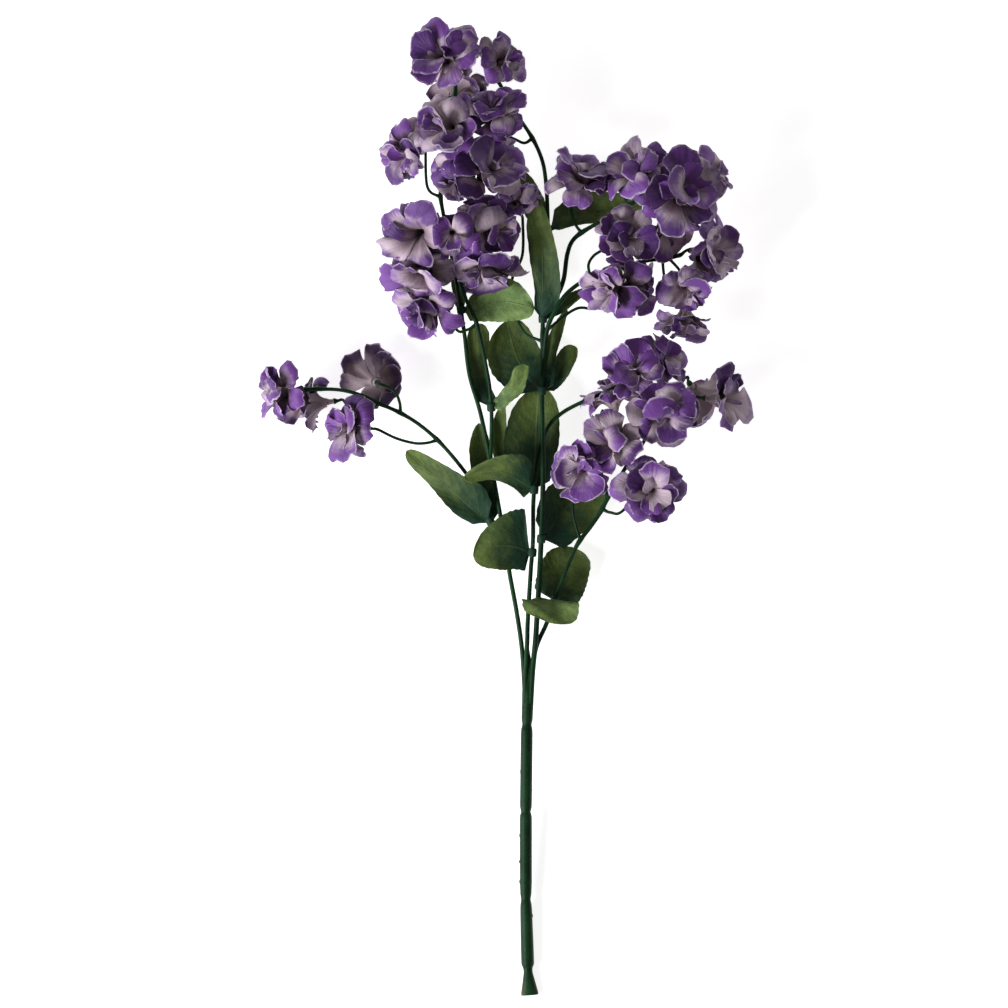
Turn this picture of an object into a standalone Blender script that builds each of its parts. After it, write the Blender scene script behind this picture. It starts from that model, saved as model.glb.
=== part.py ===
"""An artificial stem of double gypsophila, laid on a table.

A jointed plastic stem carries four branch stalks. Ruffled blooms sit on the stalks' twigs, and
whorls of leaves are sleeved on the stalks. +Y runs from the cut end to the top of the stem, +X to
the right of it, +Z up from the table. Lengths below are in millimetres and angles in degrees.
"""

import math
import random

import bmesh
import bpy
import numpy as np
from mathutils import Vector

MM = 0.001
GAP = 0.3                # clearance between pieces that touch

STEM_SLOPE = 0.056       # how steeply the jointed stem rises from the table
STEM_FOOT = (-276, 3.25)  # y and z of the stem's axis where it rests, cut flat underneath
STEM_TOP = -117          # y of the face that the branch stalks stand on
STEM_SIDES = 10
STALK_SIDES = 6
TWIG_SIDES = 4
PINCH = 0.48             # thickness over width where the cut end was nipped flat
SOCKET_RADIUS = 1.1
SOCKET_DEPTH = 8
PEG_RADIUS = 0.75
ROOT_OFFSET = 1.65       # half the spacing of the four stalks in their sockets
STALK_STEP = 18          # spacing of the rings along a stalk
TWIG_STEP = 10
SHOULDER_STEP = 0.02     # spacing of the two rings at a peg's shoulder
STALK_RADIUS = 1.45      # at the socket
FORK_THINNING = 0.85     # first radius of a side stalk over STALK_RADIUS
TIP_RADIUS = 1.1         # where a stalk ends in a bloom
TWIG_RADIUS = 0.9
TWIG_LEAD = 7.0          # a twig's straight end on the bloom's axis, at most
LEAD_SHARE = 0.45        # and as a share of the twig's length
CALYX_RADIUS = 1.9
CALYX_LENGTH = 3
SHORTEST_BEND = 0.5      # a straight end that is less than this longer than the calyx is left out

PETAL_THICKNESS = 0.7
NECK_RADIUS = 1.9        # of a bloom at its calyx
FLARE_RADIUS = 2.2       # of the circle that the petals spring from
HUB_HEIGHT = 6.2         # of the throat's floor above the neck
HEART_HEIGHT = 13.5      # of the middle of the innermost cup
BLOOM_REACH = 11.5       # from a bloom's neck to the middle of its body
BLOOM_ROOM = 27.2        # blooms nearer than this, times their sizes, share out the room
PRESS_MARGIN = 5         # depth over which a petal gives way to a neighbour
PRESS_RISE = 1.6         # how soon along its length a petal gives way in full
WILT = (-14, 10)         # range of degrees that a petal bends further in or out
CURL = 1.6               # how far one edge of a petal lies above the other, at most
REST_PLANE = 0.0
WELD = 1e-6              # in metres

LEAF_THICKNESS = 0.75
LEAF_FOLD = 1.6          # rise of a leaf's edges above its midrib
LEAF_WAVE = 0.9          # rise and fall of the edges from row to row
LEAF_INSET = 0.35        # depth of a leaf's root in the sleeve's wall
SLEEVE_LENGTH = 5
SLEEVE_WALL = 0.9
BORE_REACH = 9           # how far the bore clears the leaf bases on each side of its middle
SLEEVE_SIDES = 6

# y and radius along the jointed stem, from the nipped end to the top
STEM_PROFILE = (
    (-294, 5.0), (-288, 3.9), (-280, 2.6), (-278, 2.7), (-275, 3.5), (-240, 3.6), (-237, 2.6),
    (-234, 3.3), (-187, 3.5), (-184.3, 2.7), (-181, 3.5), (-137, 3.6), (-133, 2.7), (-129, 3.4),
    (-123, 3.9), (STEM_TOP, 3.9),
)
# y and x of the same axis, which bows a little
STEM_BOW = ((-294, 16), (-278, 14.9), (-237, 13.6), (-184, 13.6), (-133, 14.2), (STEM_TOP, 14.7))


def stem_z(y):
    """Height of the jointed stem's axis at y."""
    return STEM_FOOT[1] + (y - STEM_FOOT[0]) * STEM_SLOPE


def socket(side, level):
    """Peg end and shoulder of a stalk in one of the four sockets: side and level are -1 or 1."""
    x = STEM_BOW[-1][1] + side * ROOT_OFFSET
    ends = (STEM_TOP - SOCKET_DEPTH + 1, STEM_TOP + GAP)
    return [(x, y, stem_z(y) + level * ROOT_OFFSET) for y in ends]


# Routes of the stalks through the middle of each spray, in order from the stem to the last bloom
LEFT_STALK = socket(-1, -1) + [
    (12.3, -100, 11.6), (11, -83, 12.6), (8, -63, 13.8), (3.6, -40, 15), (1.5, -25, 16),
    (-2.4, -5, 17.3), (-8.3, 27, 19.5), (-14.1, 55, 21.5), (-20.7, 78, 23), (-23.7, 102, 24.5),
    (-26.7, 123, 25.5), (-30.9, 147, 26.5), (-36.3, 174, 27.5), (-38.1, 187, 28),
    (-36.3, 201, 28.5), (-32.7, 225, 29), (-29.1, 249, 30), (-30.9, 261, 31),
]
OUTER_STALK = [
    (1.5, -25, 16), (-3.9, -18, 16.5), (-8.1, -10, 17), (-10.5, 0, 18), (-16.5, 10.2, 19),
    (-24.3, 21, 20.5), (-32.1, 30.6, 22), (-40.5, 39.6, 23), (-51.3, 48.6, 24.5),
    (-62.1, 55.2, 26), (-74.1, 60.6, 27.5), (-86.1, 66, 29.5), (-98.1, 69, 31.5),
    (-111, 69.6, 33), (-119, 69.4, 33),
]
INNER_STALK = [
    (-8.3, 27, 19.5), (-7.5, 42, 21.5), (-7.5, 55, 23.5), (-8.2, 66, 25), (-9.9, 78.6, 26.5),
    (-16.2, 108, 29), (-23, 124, 30.5), (-26.5, 137, 31.5), (-27, 150, 32), (-24, 166, 32),
    (-18, 180, 32.5), (-13.5, 190, 34),
]
BACK_STALK = socket(-1, 1) + [
    (13.6, -100, 15.2), (14.5, -83, 16.5), (14.9, -69, 17.3), (16.5, -40, 18.5),
    (17.4, -21, 19.3), (17.7, 3, 20.3), (20.1, 27, 20.8), (25.5, 45, 21), (35.1, 55.4, 21.8),
    (51.3, 63.8, 23.5), (60.9, 67.8, 24.5), (67.5, 70.8, 25.5), (81.9, 70.2, 26.5),
    (96.9, 67.8, 27.5), (112, 67, 28.5),
]
MIDDLE_STALK = socket(1, 1) + [
    (17.6, -100, 15.5), (19.4, -83, 17), (19.9, -69, 18), (21.6, -28, 20.5), (23, 15, 23.5),
    (22.8, 63, 26.5), (23.3, 83, 27.5), (23.3, 115, 29), (23.7, 129, 29.5), (26.1, 153, 30.5),
    (26.1, 177, 31), (24.9, 196, 31.5), (22.5, 208, 32), (17.1, 220, 32), (8.7, 233, 31.5),
    (2, 245, 30.5), (-4, 255, 28.5),
]
HIGH_STALK = [
    (23.5, 119, 29), (28, 122, 28), (32, 127, 27.5), (35.1, 136, 28), (37.5, 151, 30),
    (42.3, 160, 32), (53.1, 167.4, 33), (60.3, 170.4, 33), (72.9, 178.2, 32), (84.9, 186, 33),
    (96, 189, 35.5),
]
ARCHED_STALK = [
    (23.2, 78, 27.2), (24, 90, 30), (26.1, 106, 35), (30.9, 117, 38), (36.9, 126, 38),
    (44.7, 132.6, 36), (51.9, 136.2, 35.5), (60.9, 139.8, 34.5), (71.1, 142.8, 33.5),
    (84.9, 146.4, 32), (98.7, 148.2, 31.5), (106, 150, 31),
]
RIGHT_STALK = socket(1, -1) + [
    (17.6, -100, 11.8), (20.1, -85, 13), (26.3, -70.6, 15), (33.3, -51, 17.3), (42.9, -25.8, 19.5),
    (51.9, -13.2, 21), (57.9, -4.2, 22), (65.7, 10.8, 24), (74.1, 24, 26), (80.7, 33, 27.5),
    (86.1, 42, 28.5), (90, 51, 30),
]
BENT_STALK = [
    (62.1, 4.8, 23), (57.9, 21, 20), (54.3, 39, 19), (57, 51, 19), (60, 57, 19.2),
]

STALKS = {
    "left_branch": (LEFT_STALK, OUTER_STALK, INNER_STALK),
    "back_branch": (BACK_STALK,),
    "middle_branch": (MIDDLE_STALK, HIGH_STALK, ARCHED_STALK),
    "right_branch": (RIGHT_STALK, BENT_STALK),
}

# Each bloom: the branch that carries it, the middle of its body, the direction that it faces
# (turned from +X towards +Y, and raised above the level), its size, and its twig's first points
BLOOMS = {
    "bloom_upper_01": ("left_branch", (-35, 269.5, 46), (120, 62), 1.2, [(-30.9, 261, 31)]),
    "bloom_upper_02": ("middle_branch", (-2.7, 267, 36), (30, 50), 0.85, [(-4, 255, 28.5)]),
    "bloom_upper_03": ("left_branch", (-27.3, 252, 14), (60, -25), 0.85, [(-29.4, 247, 30)]),
    "bloom_upper_04": ("left_branch", (-33.9, 226.8, 50), (150, 68), 1.15, [(-33.3, 221, 29)]),
    "bloom_upper_05": ("middle_branch", (-3, 232, 48), (100, 52), 1.05,
                       [(17.1, 220, 32), (12.3, 217.2, 31.5), (6.5, 219.5, 31)]),
    "bloom_upper_06": ("left_branch", (-55, 210.5, 34), (195, 35), 1.15,
                       [(-38, 184.5, 28), (-42.5, 190, 28.5)]),
    "bloom_upper_07": ("left_branch", (-14, 199, 50), (40, 65), 1.25, [(-13.5, 190, 34)]),
    "bloom_upper_08": ("left_branch", (-29.5, 194, 44), (240, 42), 1.0, [(-36, 203, 28.5)]),
    "bloom_upper_09": ("left_branch", (-10.5, 167, 41), (-40, 55), 1.1, [(-24, 166, 32)]),
    "bloom_upper_10": ("middle_branch", (9, 183, 31), (100, 35), 0.75,
                       [(23.2, 98, 28.1), (15, 115, 25), (8.5, 133, 22), (13, 150, 21)]),
    "bloom_upper_11": ("left_branch", (-50.1, 165.6, 50), (130, 72), 1.25, [(-34, 163, 27)]),
    "bloom_upper_12": ("left_branch", (-25.5, 158.4, 54), (-60, 65), 0.75, [(-26.8, 153, 32)]),
    "bloom_upper_13": ("left_branch", (-54, 138, 37), (195, 50), 1.2, [(-30.5, 145, 26.4)]),
    "bloom_upper_14": ("left_branch", (-45.5, 117, 30), (210, 22), 1.1,
                       [(-16.5, 108.6, 29), (-22.5, 105, 28), (-29.1, 106.2, 27)]),
    "bloom_upper_15": ("left_branch", (-9, 144.5, 36), (255, 26), 1.0,
                       [(-23.5, 168, 32), (-14, 164, 28)]),
    "bloom_right_01": ("middle_branch", (46, 196, 37), (85, 32), 1.1,
                       [(46.5, 163.2, 33), (42, 170, 32), (40.2, 180, 30)]),
    "bloom_right_02": ("middle_branch", (76.5, 199, 43), (110, 55), 1.15,
                       [(83.1, 185, 33), (74.7, 181, 31), (73.5, 186, 30)]),
    "bloom_right_03": ("middle_branch", (107.7, 191, 53), (45, 70), 1.25, [(96, 189, 35.5)]),
    "bloom_right_04": ("middle_branch", (125.1, 199.8, 30), (20, 15), 0.95,
                       [(91, 187.8, 34.5), (104, 192, 29)]),
    "bloom_right_05": ("middle_branch", (71.1, 160, 45), (20, 65), 1.0,
                       [(51.9, 136.2, 35.5), (50.7, 144, 34), (53.7, 149.4, 31), (59.1, 153, 26)]),
    "bloom_right_06": ("middle_branch", (96.3, 169.8, 34), (-60, 30), 0.9, [(80, 183.3, 32.5)]),
    "bloom_right_07": ("middle_branch", (122, 152.5, 38), (-5, 35), 1.25, [(106, 150, 31)]),
    "bloom_right_08": ("middle_branch", (69, 133, 50), (225, 48), 1.2, [(71.1, 142.8, 33.5)]),
    "bloom_right_09": ("middle_branch", (82, 124, 33), (-30, 35), 0.85,
                       [(23.2, 102, 28.3), (32, 110, 31), (44, 118, 28), (58, 119, 22)]),
    "bloom_right_10": ("middle_branch", (108.3, 127.2, 36), (-60, 40), 0.9, [(98.7, 148.2, 31.5)]),
    "bloom_right_11": ("middle_branch", (110.7, 105.6, 26), (260, 10), 0.85,
                       [(95, 147.8, 31.7), (97, 135, 22), (106, 123, 21)]),
    "bloom_low_01": ("back_branch", (77.1, 82.8, 42), (110, 60), 1.05, [(67.5, 70.8, 25.5)]),
    "bloom_low_02": ("back_branch", (97.9, 85, 34), (30, 40), 0.85, [(82, 70.2, 26.5)]),
    "bloom_low_03": ("right_branch", (59.1, 69, 16), (100, -10), 0.7, [(60, 57, 19.2)]),
    "bloom_low_04": ("right_branch", (93.9, 52, 46), (-70, 62), 1.2, [(90, 51, 30)]),
    "bloom_low_05": ("back_branch", (116.7, 62.8, 14), (-60, -35), 0.9, [(98, 67.7, 27.6)]),
    "bloom_low_06": ("back_branch", (133, 67, 34), (-8, 18), 1.2, [(112, 67, 28.5)]),
    "bloom_low_07": ("right_branch", (64, 38, 41), (150, 55), 1.2, [(74.1, 24, 26), (75, 31, 25)]),
    "bloom_low_08": ("right_branch", (45, 22, 37), (200, 60), 1.1,
                     [(45.9, -21.3, 20), (42.3, -9, 22), (41.4, 0, 23), (44, 11, 23)]),
    "bloom_low_09": ("right_branch", (87.3, 10.5, 44), (-60, 72), 1.25,
                     [(59.1, -2.5, 22.2), (63.9, -4.5, 24), (71.1, -3.6, 26)]),
    "bloom_left_01": ("left_branch", (-133.5, 71.5, 34), (168, 15), 1.1, [(-119, 69.4, 33)]),
    "bloom_left_02": ("left_branch", (-123.5, 55, 12), (250, 15), 0.8,
                      [(-111, 69.6, 33), (-116, 68, 24)]),
    "bloom_left_03": ("left_branch", (-108.5, 53, 19), (200, 5), 0.9,
                      [(-74.1, 60.6, 27.5), (-83.1, 58.2, 26.5), (-92, 58.2, 26)]),
    "bloom_left_04": ("left_branch", (-78.9, 73.5, 22), (120, -65), 1.15,
                      [(-62.1, 55.2, 26), (-62.7, 61.8, 30), (-66.3, 69, 33.5)]),
    "bloom_left_05": ("left_branch", (-88.5, 44, 30), (205, 22), 1.05,
                      [(-39.9, 39, 23), (-46.5, 37.2, 23.5), (-54.3, 37.2, 24), (-65.1, 40.2, 25)]),
}

# Each whorl: the branch that it is sleeved on, a point near its sleeve, and its leaves as
# (tip, width, roll about the midrib in degrees, height of the midrib's arch)
WHORLS = {
    "leaves_right_low": ("right_branch", (30.9, -58, 16.6), [
        ((41.5, -25.5, 7), 34, 0, -3), ((29, -71, 36), 33, 0, 5)]),
    "leaves_back_low": ("back_branch", (17, -28.5, 19), [
        ((-18.5, -22, 26), 37, 8, 2)]),
    "leaves_middle_low": ("middle_branch", (21.8, -21, 20.9), [
        ((60, 12, 10), 31, -8, -4)]),
    "leaves_back": ("back_branch", (17.8, 9, 20.4), [
        ((-24, 17, 28), 22, 25, 3), ((21, 71, 14), 34, 0, -3), ((-1, 60, 3), 15, 20, -4)]),
    "leaves_left_low": ("left_branch", (-8.3, -9.2, 17.1), [
        ((-58.5, 32.5, 18), 24, 20, 4), ((-15, 49, 9), 18, -10, -3)]),
    "leaves_inner": ("left_branch", (-7.6, 59, 24), [
        ((15, 83, 38), 14, 40, 4), ((-17, 109, 17), 18, -10, -4)]),
    "leaves_middle": ("middle_branch", (22.9, 68, 26.8), [
        ((2, 111, 10), 30, 6, -6), ((38, 117, 23), 18, 20, -3), ((42, 78, 22), 14, 10, -2)]),
    "leaves_high": ("middle_branch", (23.3, 112, 28.9), [
        ((20, 184, 38), 24, 10, 4), ((52, 131, 23), 8, 20, -2)]),
    "leaves_top": ("middle_branch", (26.1, 165, 30.8), [
        ((9.5, 201, 13), 19, -12, -3), ((86, 184, 20), 21, 8, -3)]),
    "leaves_left_high": ("left_branch", (-25.9, 117.5, 25.3), [
        ((18, 118, 29.5), 30, -8, -3), ((-28, 145, 19), 9, 20, -2)]),
}

GREEN_PLASTIC = ("green plastic", (0.016, 0.075, 0.035), 0.42)
LEAF_FABRIC = ("leaf fabric", (0.075, 0.12, 0.035), 0.7)
PETAL_FABRIC = ("petal fabric", (0.22, 0.10, 0.40), 0.75)


def clear_scene():
    for thing in list(bpy.data.objects):
        bpy.data.objects.remove(thing)


def material(name, colour, roughness):
    """A plain Principled material, made once."""
    found = bpy.data.materials.get(name)
    if found:
        return found
    made = bpy.data.materials.new(name)
    made.use_nodes = True
    shader = made.node_tree.nodes["Principled BSDF"]
    shader.inputs["Base Color"].default_value = (*colour, 1)
    shader.inputs["Roughness"].default_value = roughness
    return made


def new_collection(name, parent=None):
    made = bpy.data.collections.new(name)
    (parent or bpy.context.scene.collection).children.link(made)
    return made


def keep_mesh(mesh, name, home, finish=None):
    """An object for the mesh, in the collection home."""
    thing = bpy.data.objects.new(name, mesh)
    home.objects.link(thing)
    if finish:
        mesh.materials.clear()
        mesh.materials.append(material(*finish))
    return thing


def unit(turn, rise):
    """The direction turned from +X towards +Y and raised above the level, both in degrees."""
    turn, rise = math.radians(turn), math.radians(rise)
    level = math.cos(rise)
    return np.array((level * math.cos(turn), level * math.sin(turn), math.sin(rise)))


def smooth_route(points, step):
    """Points about a step apart on the Catmull-Rom curve through the given ones."""
    points = np.array(points, float)
    padded = np.vstack((2 * points[0] - points[1], points, 2 * points[-1] - points[-2]))
    route = [points[0]]
    for before, start, end, after in zip(padded, padded[1:], padded[2:], padded[3:]):
        for t in np.linspace(0, 1, max(1, round(np.linalg.norm(end - start) / step)) + 1)[1:]:
            route.append(0.5 * (2 * start + (end - before) * t
                                + (2 * before - 5 * start + 4 * end - after) * t ** 2
                                + (3 * start - before - 3 * end + after) * t ** 3))
    return np.array(route)


def tube(name, route, radii, sides, home):
    """A round rod with flat ends along the route, as a mesh."""
    curve = bpy.data.curves.new(name, "CURVE")
    curve.dimensions = "3D"
    curve.bevel_depth = MM
    curve.bevel_resolution = (sides - 4) // 2
    curve.use_fill_caps = True
    spline = curve.splines.new("POLY")
    spline.points.add(len(route) - 1)
    for point, place, radius in zip(spline.points, route, radii):
        point.co = (*(np.array(place) * MM), 1)
        point.radius = radius
    guide = bpy.data.objects.new(name, curve)
    bpy.context.scene.collection.objects.link(guide)
    bpy.context.view_layer.update()
    mesh = bpy.data.meshes.new_from_object(guide.evaluated_get(bpy.context.evaluated_depsgraph_get()))
    bpy.data.objects.remove(guide)
    bm = bmesh.new()
    bm.from_mesh(mesh)
    bmesh.ops.remove_doubles(bm, verts=bm.verts, dist=WELD)
    bmesh.ops.triangulate(bm, faces=bm.faces)
    bm.to_mesh(mesh)
    bm.free()
    return keep_mesh(mesh, name, home)


def apply_boolean(thing, operation, collection, solver="MANIFOLD"):
    """Joins or cuts a mesh object with all of a collection, and removes that collection."""
    modifier = thing.modifiers.new("join", "BOOLEAN")
    modifier.operation = operation
    modifier.operand_type = "COLLECTION"
    modifier.collection = collection
    modifier.solver = solver
    bpy.context.view_layer.update()
    graph = bpy.context.evaluated_depsgraph_get()
    mesh = bpy.data.meshes.new_from_object(thing.evaluated_get(graph))
    thing.modifiers.clear()
    bm = bmesh.new()
    bm.from_mesh(mesh)
    bmesh.ops.triangulate(bm, faces=bm.faces)
    bm.to_mesh(mesh)
    bm.free()
    thing.data = mesh
    for other in list(collection.objects):
        bpy.data.objects.remove(other)
    bpy.data.collections.remove(collection)


def rest_flat(thing):
    """Cuts off what reaches below the table, so that the piece rests on a flat spot."""
    bm = bmesh.new()
    bm.from_mesh(thing.data)
    if min(vertex.co.z for vertex in bm.verts) < REST_PLANE:
        cut = bmesh.ops.bisect_plane(
            bm, geom=bm.verts[:] + bm.edges[:] + bm.faces[:], dist=1e-7,
            plane_co=(0, 0, REST_PLANE), plane_no=(0, 0, -1), clear_outer=True)
        rim = [part for part in cut["geom_cut"] if isinstance(part, bmesh.types.BMEdge)]
        bmesh.ops.contextual_create(bm, geom=rim)
        bmesh.ops.triangulate(bm, faces=[face for face in bm.faces if len(face.verts) > 4])
    bm.to_mesh(thing.data)
    bm.free()


def make_stem(home):
    """The jointed stem: thick lengths with a nipped waist between them, and the cut end."""
    ys, radii = zip(*STEM_PROFILE)
    bow_y, bow_x = zip(*STEM_BOW)
    route = [(np.interp(y, bow_y, bow_x), y, stem_z(y)) for y in ys]
    stem = tube("jointed_stem", route, radii, STEM_SIDES, home)
    stem.data.materials.append(material(*GREEN_PLASTIC))
    nipped = (STEM_PROFILE[0][0], STEM_PROFILE[2][0])
    for vertex in stem.data.vertices:
        y = vertex.co.y / MM
        flat = np.interp(y, nipped, (1 - PINCH, 0))
        axis = stem_z(y) * MM
        vertex.co.z = axis + (vertex.co.z - axis) * (1 - flat)
    cutters = new_collection("sockets")
    for side in (-1, 1):
        for level in (-1, 1):
            (x, _, z), _ = socket(side, level)
            ends = [(x, y, z + (y - STEM_TOP + SOCKET_DEPTH - 1) * STEM_SLOPE)
                    for y in (STEM_TOP - SOCKET_DEPTH, STEM_TOP + 2)]
            tube("socket", ends, (SOCKET_RADIUS,) * 2, STALK_SIDES, cutters)
    apply_boolean(stem, "DIFFERENCE", cutters)
    rest_flat(stem)


def bloom_frame(name):
    """(neck point, unit axis) of a bloom: the neck lies behind the middle of its body."""
    _, middle, facing, size, _ = BLOOMS[name]
    axis = unit(*facing)
    return np.array(middle) - axis * BLOOM_REACH * size, axis


def twig_route(name):
    """A twig's first points, then straight into the neck along the bloom's axis."""
    neck, axis = bloom_frame(name)
    start = BLOOMS[name][4]
    lead = min(TWIG_LEAD, LEAD_SHARE * np.linalg.norm(neck - np.array(start[-1])))
    if lead < CALYX_LENGTH + 1:
        return np.vstack((smooth_route([*start, neck - axis * CALYX_LENGTH], TWIG_STEP), neck))
    bent = smooth_route([*start, neck - axis * max(lead, CALYX_LENGTH)], TWIG_STEP)
    if lead > CALYX_LENGTH + SHORTEST_BEND:
        return np.vstack((bent, neck - axis * CALYX_LENGTH, neck))
    return np.vstack((bent, neck))


def make_branch(name, home):
    """The stalks of one branch and the twigs of its blooms, moulded as one piece."""
    rods = new_collection("rods")
    for number, points in enumerate(STALKS[name]):
        if number:
            route = smooth_route(points, STALK_STEP)
            radii = np.linspace(STALK_RADIUS * FORK_THINNING, TIP_RADIUS, len(route))
            tube("stalk", route, radii, STALK_SIDES, rods)
            continue
        route = np.vstack((points[0], points[1], smooth_route(points[1:], STALK_STEP)))
        route[2, 1] += SHOULDER_STEP
        radii = np.linspace(STALK_RADIUS, TIP_RADIUS, len(route))
        radii[:2] = PEG_RADIUS
        branch = tube(name, route, radii, STALK_SIDES, home)
    for bloom, (carrier, *_) in BLOOMS.items():
        if carrier == name:
            route = twig_route(bloom)
            radii = np.full(len(route), TWIG_RADIUS)
            radii[-1] = CALYX_RADIUS
            tube("twig", route, radii, TWIG_SIDES, rods)
    apply_boolean(branch, "UNION", rods)
    branch.data.materials.clear()
    branch.data.materials.append(material(*GREEN_PLASTIC))


def arc(length, start, end, share):
    """(distance out, distance up) along an arc that turns from start to end, off the axis."""
    start, turn = math.radians(start), math.radians(end - start)
    now = start + turn * share
    return (length * (math.cos(start) - math.cos(now)) / turn,
            length * (math.sin(now) - math.sin(start)) / turn)


# Petal layers, outer to inner: petals, arc length, arc's first and last angle off the axis,
# height where the layer springs from the neck, share of the arc that the gaps reach
LAYERS = (
    (5, 25, 8, 100, 4.0, 0.68),
    (5, 20, 2, 62, 6.0, 0.70),
    (3, 15.5, -2, 36, 8.5, 0.72),
)
# Places across a petal of each layer, in half widths, and the share of the arc reached there
GAP_PLACE = -1
RIMS = (
    ((GAP_PLACE, LAYERS[0][5]), (-0.62, 0.96), (0, 1), (0.62, 0.96)),
    ((GAP_PLACE, LAYERS[1][5]), (-0.5, 0.97), (0.5, 0.97)),
    ((GAP_PLACE, LAYERS[2][5]), (-0.5, 0.97), (0.5, 0.97)),
)
OUTER_WAIST = ((GAP_PLACE, 0.42), (0, 0.42))
INNER_WAIST = ((GAP_PLACE, 0.4),)
# How far the thickness of a bloom's skin points up the axis at each ring, over its part inwards
LEANS = {"outer waist": 0.75, "outer rim": 1.6, "inner waist": 0.3, "inner rim": 0.9,
         "heart rim": 0.4}


class Bloom:
    """The layered cups of one bloom, as rings of points round its axis."""

    def __init__(self, name):
        self.neck, self.axis = bloom_frame(name)
        self.size = BLOOMS[name][3]
        self.draw = random.Random(name)
        side = np.cross(self.axis, (0.0, 0.0, 1.0))
        if np.linalg.norm(side) < 0.1:
            side = np.cross(self.axis, (1.0, 0.0, 0.0))
        self.side = side / np.linalg.norm(side)
        self.up = np.cross(self.axis, self.side)
        self.turn = self.draw.uniform(0, 72)
        self.walls = list(neighbour_walls(name))

    def place(self, out, along, angle):
        """The point at that distance from the axis, height and angle."""
        angle = math.radians(angle)
        round_axis = self.side * math.cos(angle) + self.up * math.sin(angle)
        return self.neck + (round_axis * out + self.axis * along) * self.size

    def press(self, point, share):
        """Moves a point of a petal back inside the room that its neighbours leave it."""
        for centre, way, distance in self.walls:
            depth = (point - centre) @ way - distance + PRESS_MARGIN
            if depth > 0:
                kept = PRESS_MARGIN * (1 - math.exp(-depth / PRESS_MARGIN))
                point = point - way * (depth - kept) * min(1.0, share * PRESS_RISE)
        return point

    def layer(self, number, rows):
        """Points of a layer's middle surface: one ring for each row of (place, share) pairs."""
        petals, length, start, end, spring, _ = LAYERS[number]
        turned = self.turn + number * 180 / petals
        wilt = [self.draw.uniform(*WILT) for _ in range(petals)]
        curl = [self.draw.uniform(-CURL, CURL) for _ in range(petals)]
        rings = []
        for row in rows:
            ring = []
            for petal in range(petals):
                for place, share in row:
                    angle = turned + (petal + 0.5 * place) * 360 / petals
                    at_gap = place == GAP_PLACE
                    lift = 0 if at_gap else wilt[petal]
                    out, along = arc(length, start, end + lift, share)
                    ruffle = 0 if at_gap else curl[petal] * place * 2 * share
                    point = self.place(FLARE_RADIUS + out, spring + along + ruffle, angle)
                    ring.append(self.press(point, share))
            rings.append(np.array(ring))
        return rings


def neighbour_walls(name):
    """(centre, direction, distance) of the planes that share the room between near blooms."""
    middle, size = np.array(BLOOMS[name][1], float), BLOOMS[name][3]
    for other, (_, place, _, other_size, _) in BLOOMS.items():
        away = np.array(place, float) - middle
        distance = np.linalg.norm(away)
        if other != name and distance < BLOOM_ROOM * (size + other_size):
            share = size / (size + other_size)
            yield middle, away / distance, distance * share - GAP - PETAL_THICKNESS / 2


def stitch(bm, lower, upper, flip):
    """Fills the band between two closed rings of vertices that may differ in number."""
    n, m = len(lower), len(upper)
    i = j = 0
    while i < n or j < m:
        if j >= m or (i < n and (i + 0.5) / n < (j + 0.5) / m):
            corners = [lower[i % n], lower[(i + 1) % n], upper[j % m]]
            i += 1
        else:
            corners = [lower[i % n], upper[(j + 1) % m], upper[j % m]]
            j += 1
        bm.faces.new(corners[::-1] if flip else corners)


def make_bloom(name, home):
    """One closed skin over the bloom: out under each layer of petals, round its edge, and back."""
    bloom = Bloom(name)
    bm = bmesh.new()

    def ring(points):
        return [bm.verts.new(Vector(point) * MM) for point in points]

    def neck_ring(height):
        corners = LAYERS[0][0]
        angles = [bloom.turn + (k - 0.5) * 360 / corners for k in range(corners)]
        return ring([bloom.place(NECK_RADIUS, height, angle) for angle in angles])

    middles = {}
    middles["outer waist"], middles["outer rim"] = bloom.layer(0, (OUTER_WAIST, RIMS[0]))
    middles["inner waist"], middles["inner rim"] = bloom.layer(1, (INNER_WAIST, RIMS[1]))
    (middles["heart rim"],) = bloom.layer(2, (RIMS[2],))
    base = neck_ring(GAP / bloom.size)
    hub = neck_ring(HUB_HEIGHT)
    under, over = {}, {}
    for key, points in middles.items():
        inward = bloom.neck + np.outer((points - bloom.neck) @ bloom.axis, bloom.axis) - points
        inward /= np.linalg.norm(inward, axis=1)[:, None]
        faces_up = inward + bloom.axis * LEANS[key]
        faces_up *= PETAL_THICKNESS / 2 / np.linalg.norm(faces_up, axis=1)[:, None]
        under[key], over[key] = ring(points - faces_up), ring(points + faces_up)
    bm.faces.new(base[::-1])
    stitch(bm, base, under["outer waist"], False)
    stitch(bm, under["outer waist"], under["outer rim"], False)
    stitch(bm, under["outer rim"], over["outer rim"], False)
    stitch(bm, over["outer waist"], over["outer rim"], True)
    stitch(bm, hub, over["outer waist"], True)
    stitch(bm, hub, under["inner waist"], False)
    stitch(bm, under["inner waist"], under["inner rim"], False)
    stitch(bm, under["inner rim"], over["inner rim"], False)
    stitch(bm, over["inner waist"], over["inner rim"], True)
    stitch(bm, over["inner waist"], under["heart rim"], False)
    stitch(bm, under["heart rim"], over["heart rim"], False)
    heart = bm.verts.new(Vector(bloom.place(0, HEART_HEIGHT, 0)) * MM)
    top = over["heart rim"]
    for k in range(len(top)):
        bm.faces.new((top[k], top[(k + 1) % len(top)], heart))
    mesh = bpy.data.meshes.new(name)
    bm.to_mesh(mesh)
    bm.free()
    rest_flat(keep_mesh(mesh, name, home, PETAL_FABRIC))


# Rows of a leaf from root to tip: share of its length, breadth there over its full width
LEAF_ROWS = ((0.0, 0.1), (0.2, 0.6), (0.46, 1.0), (0.77, 0.84), (1.0, 0.22))


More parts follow.
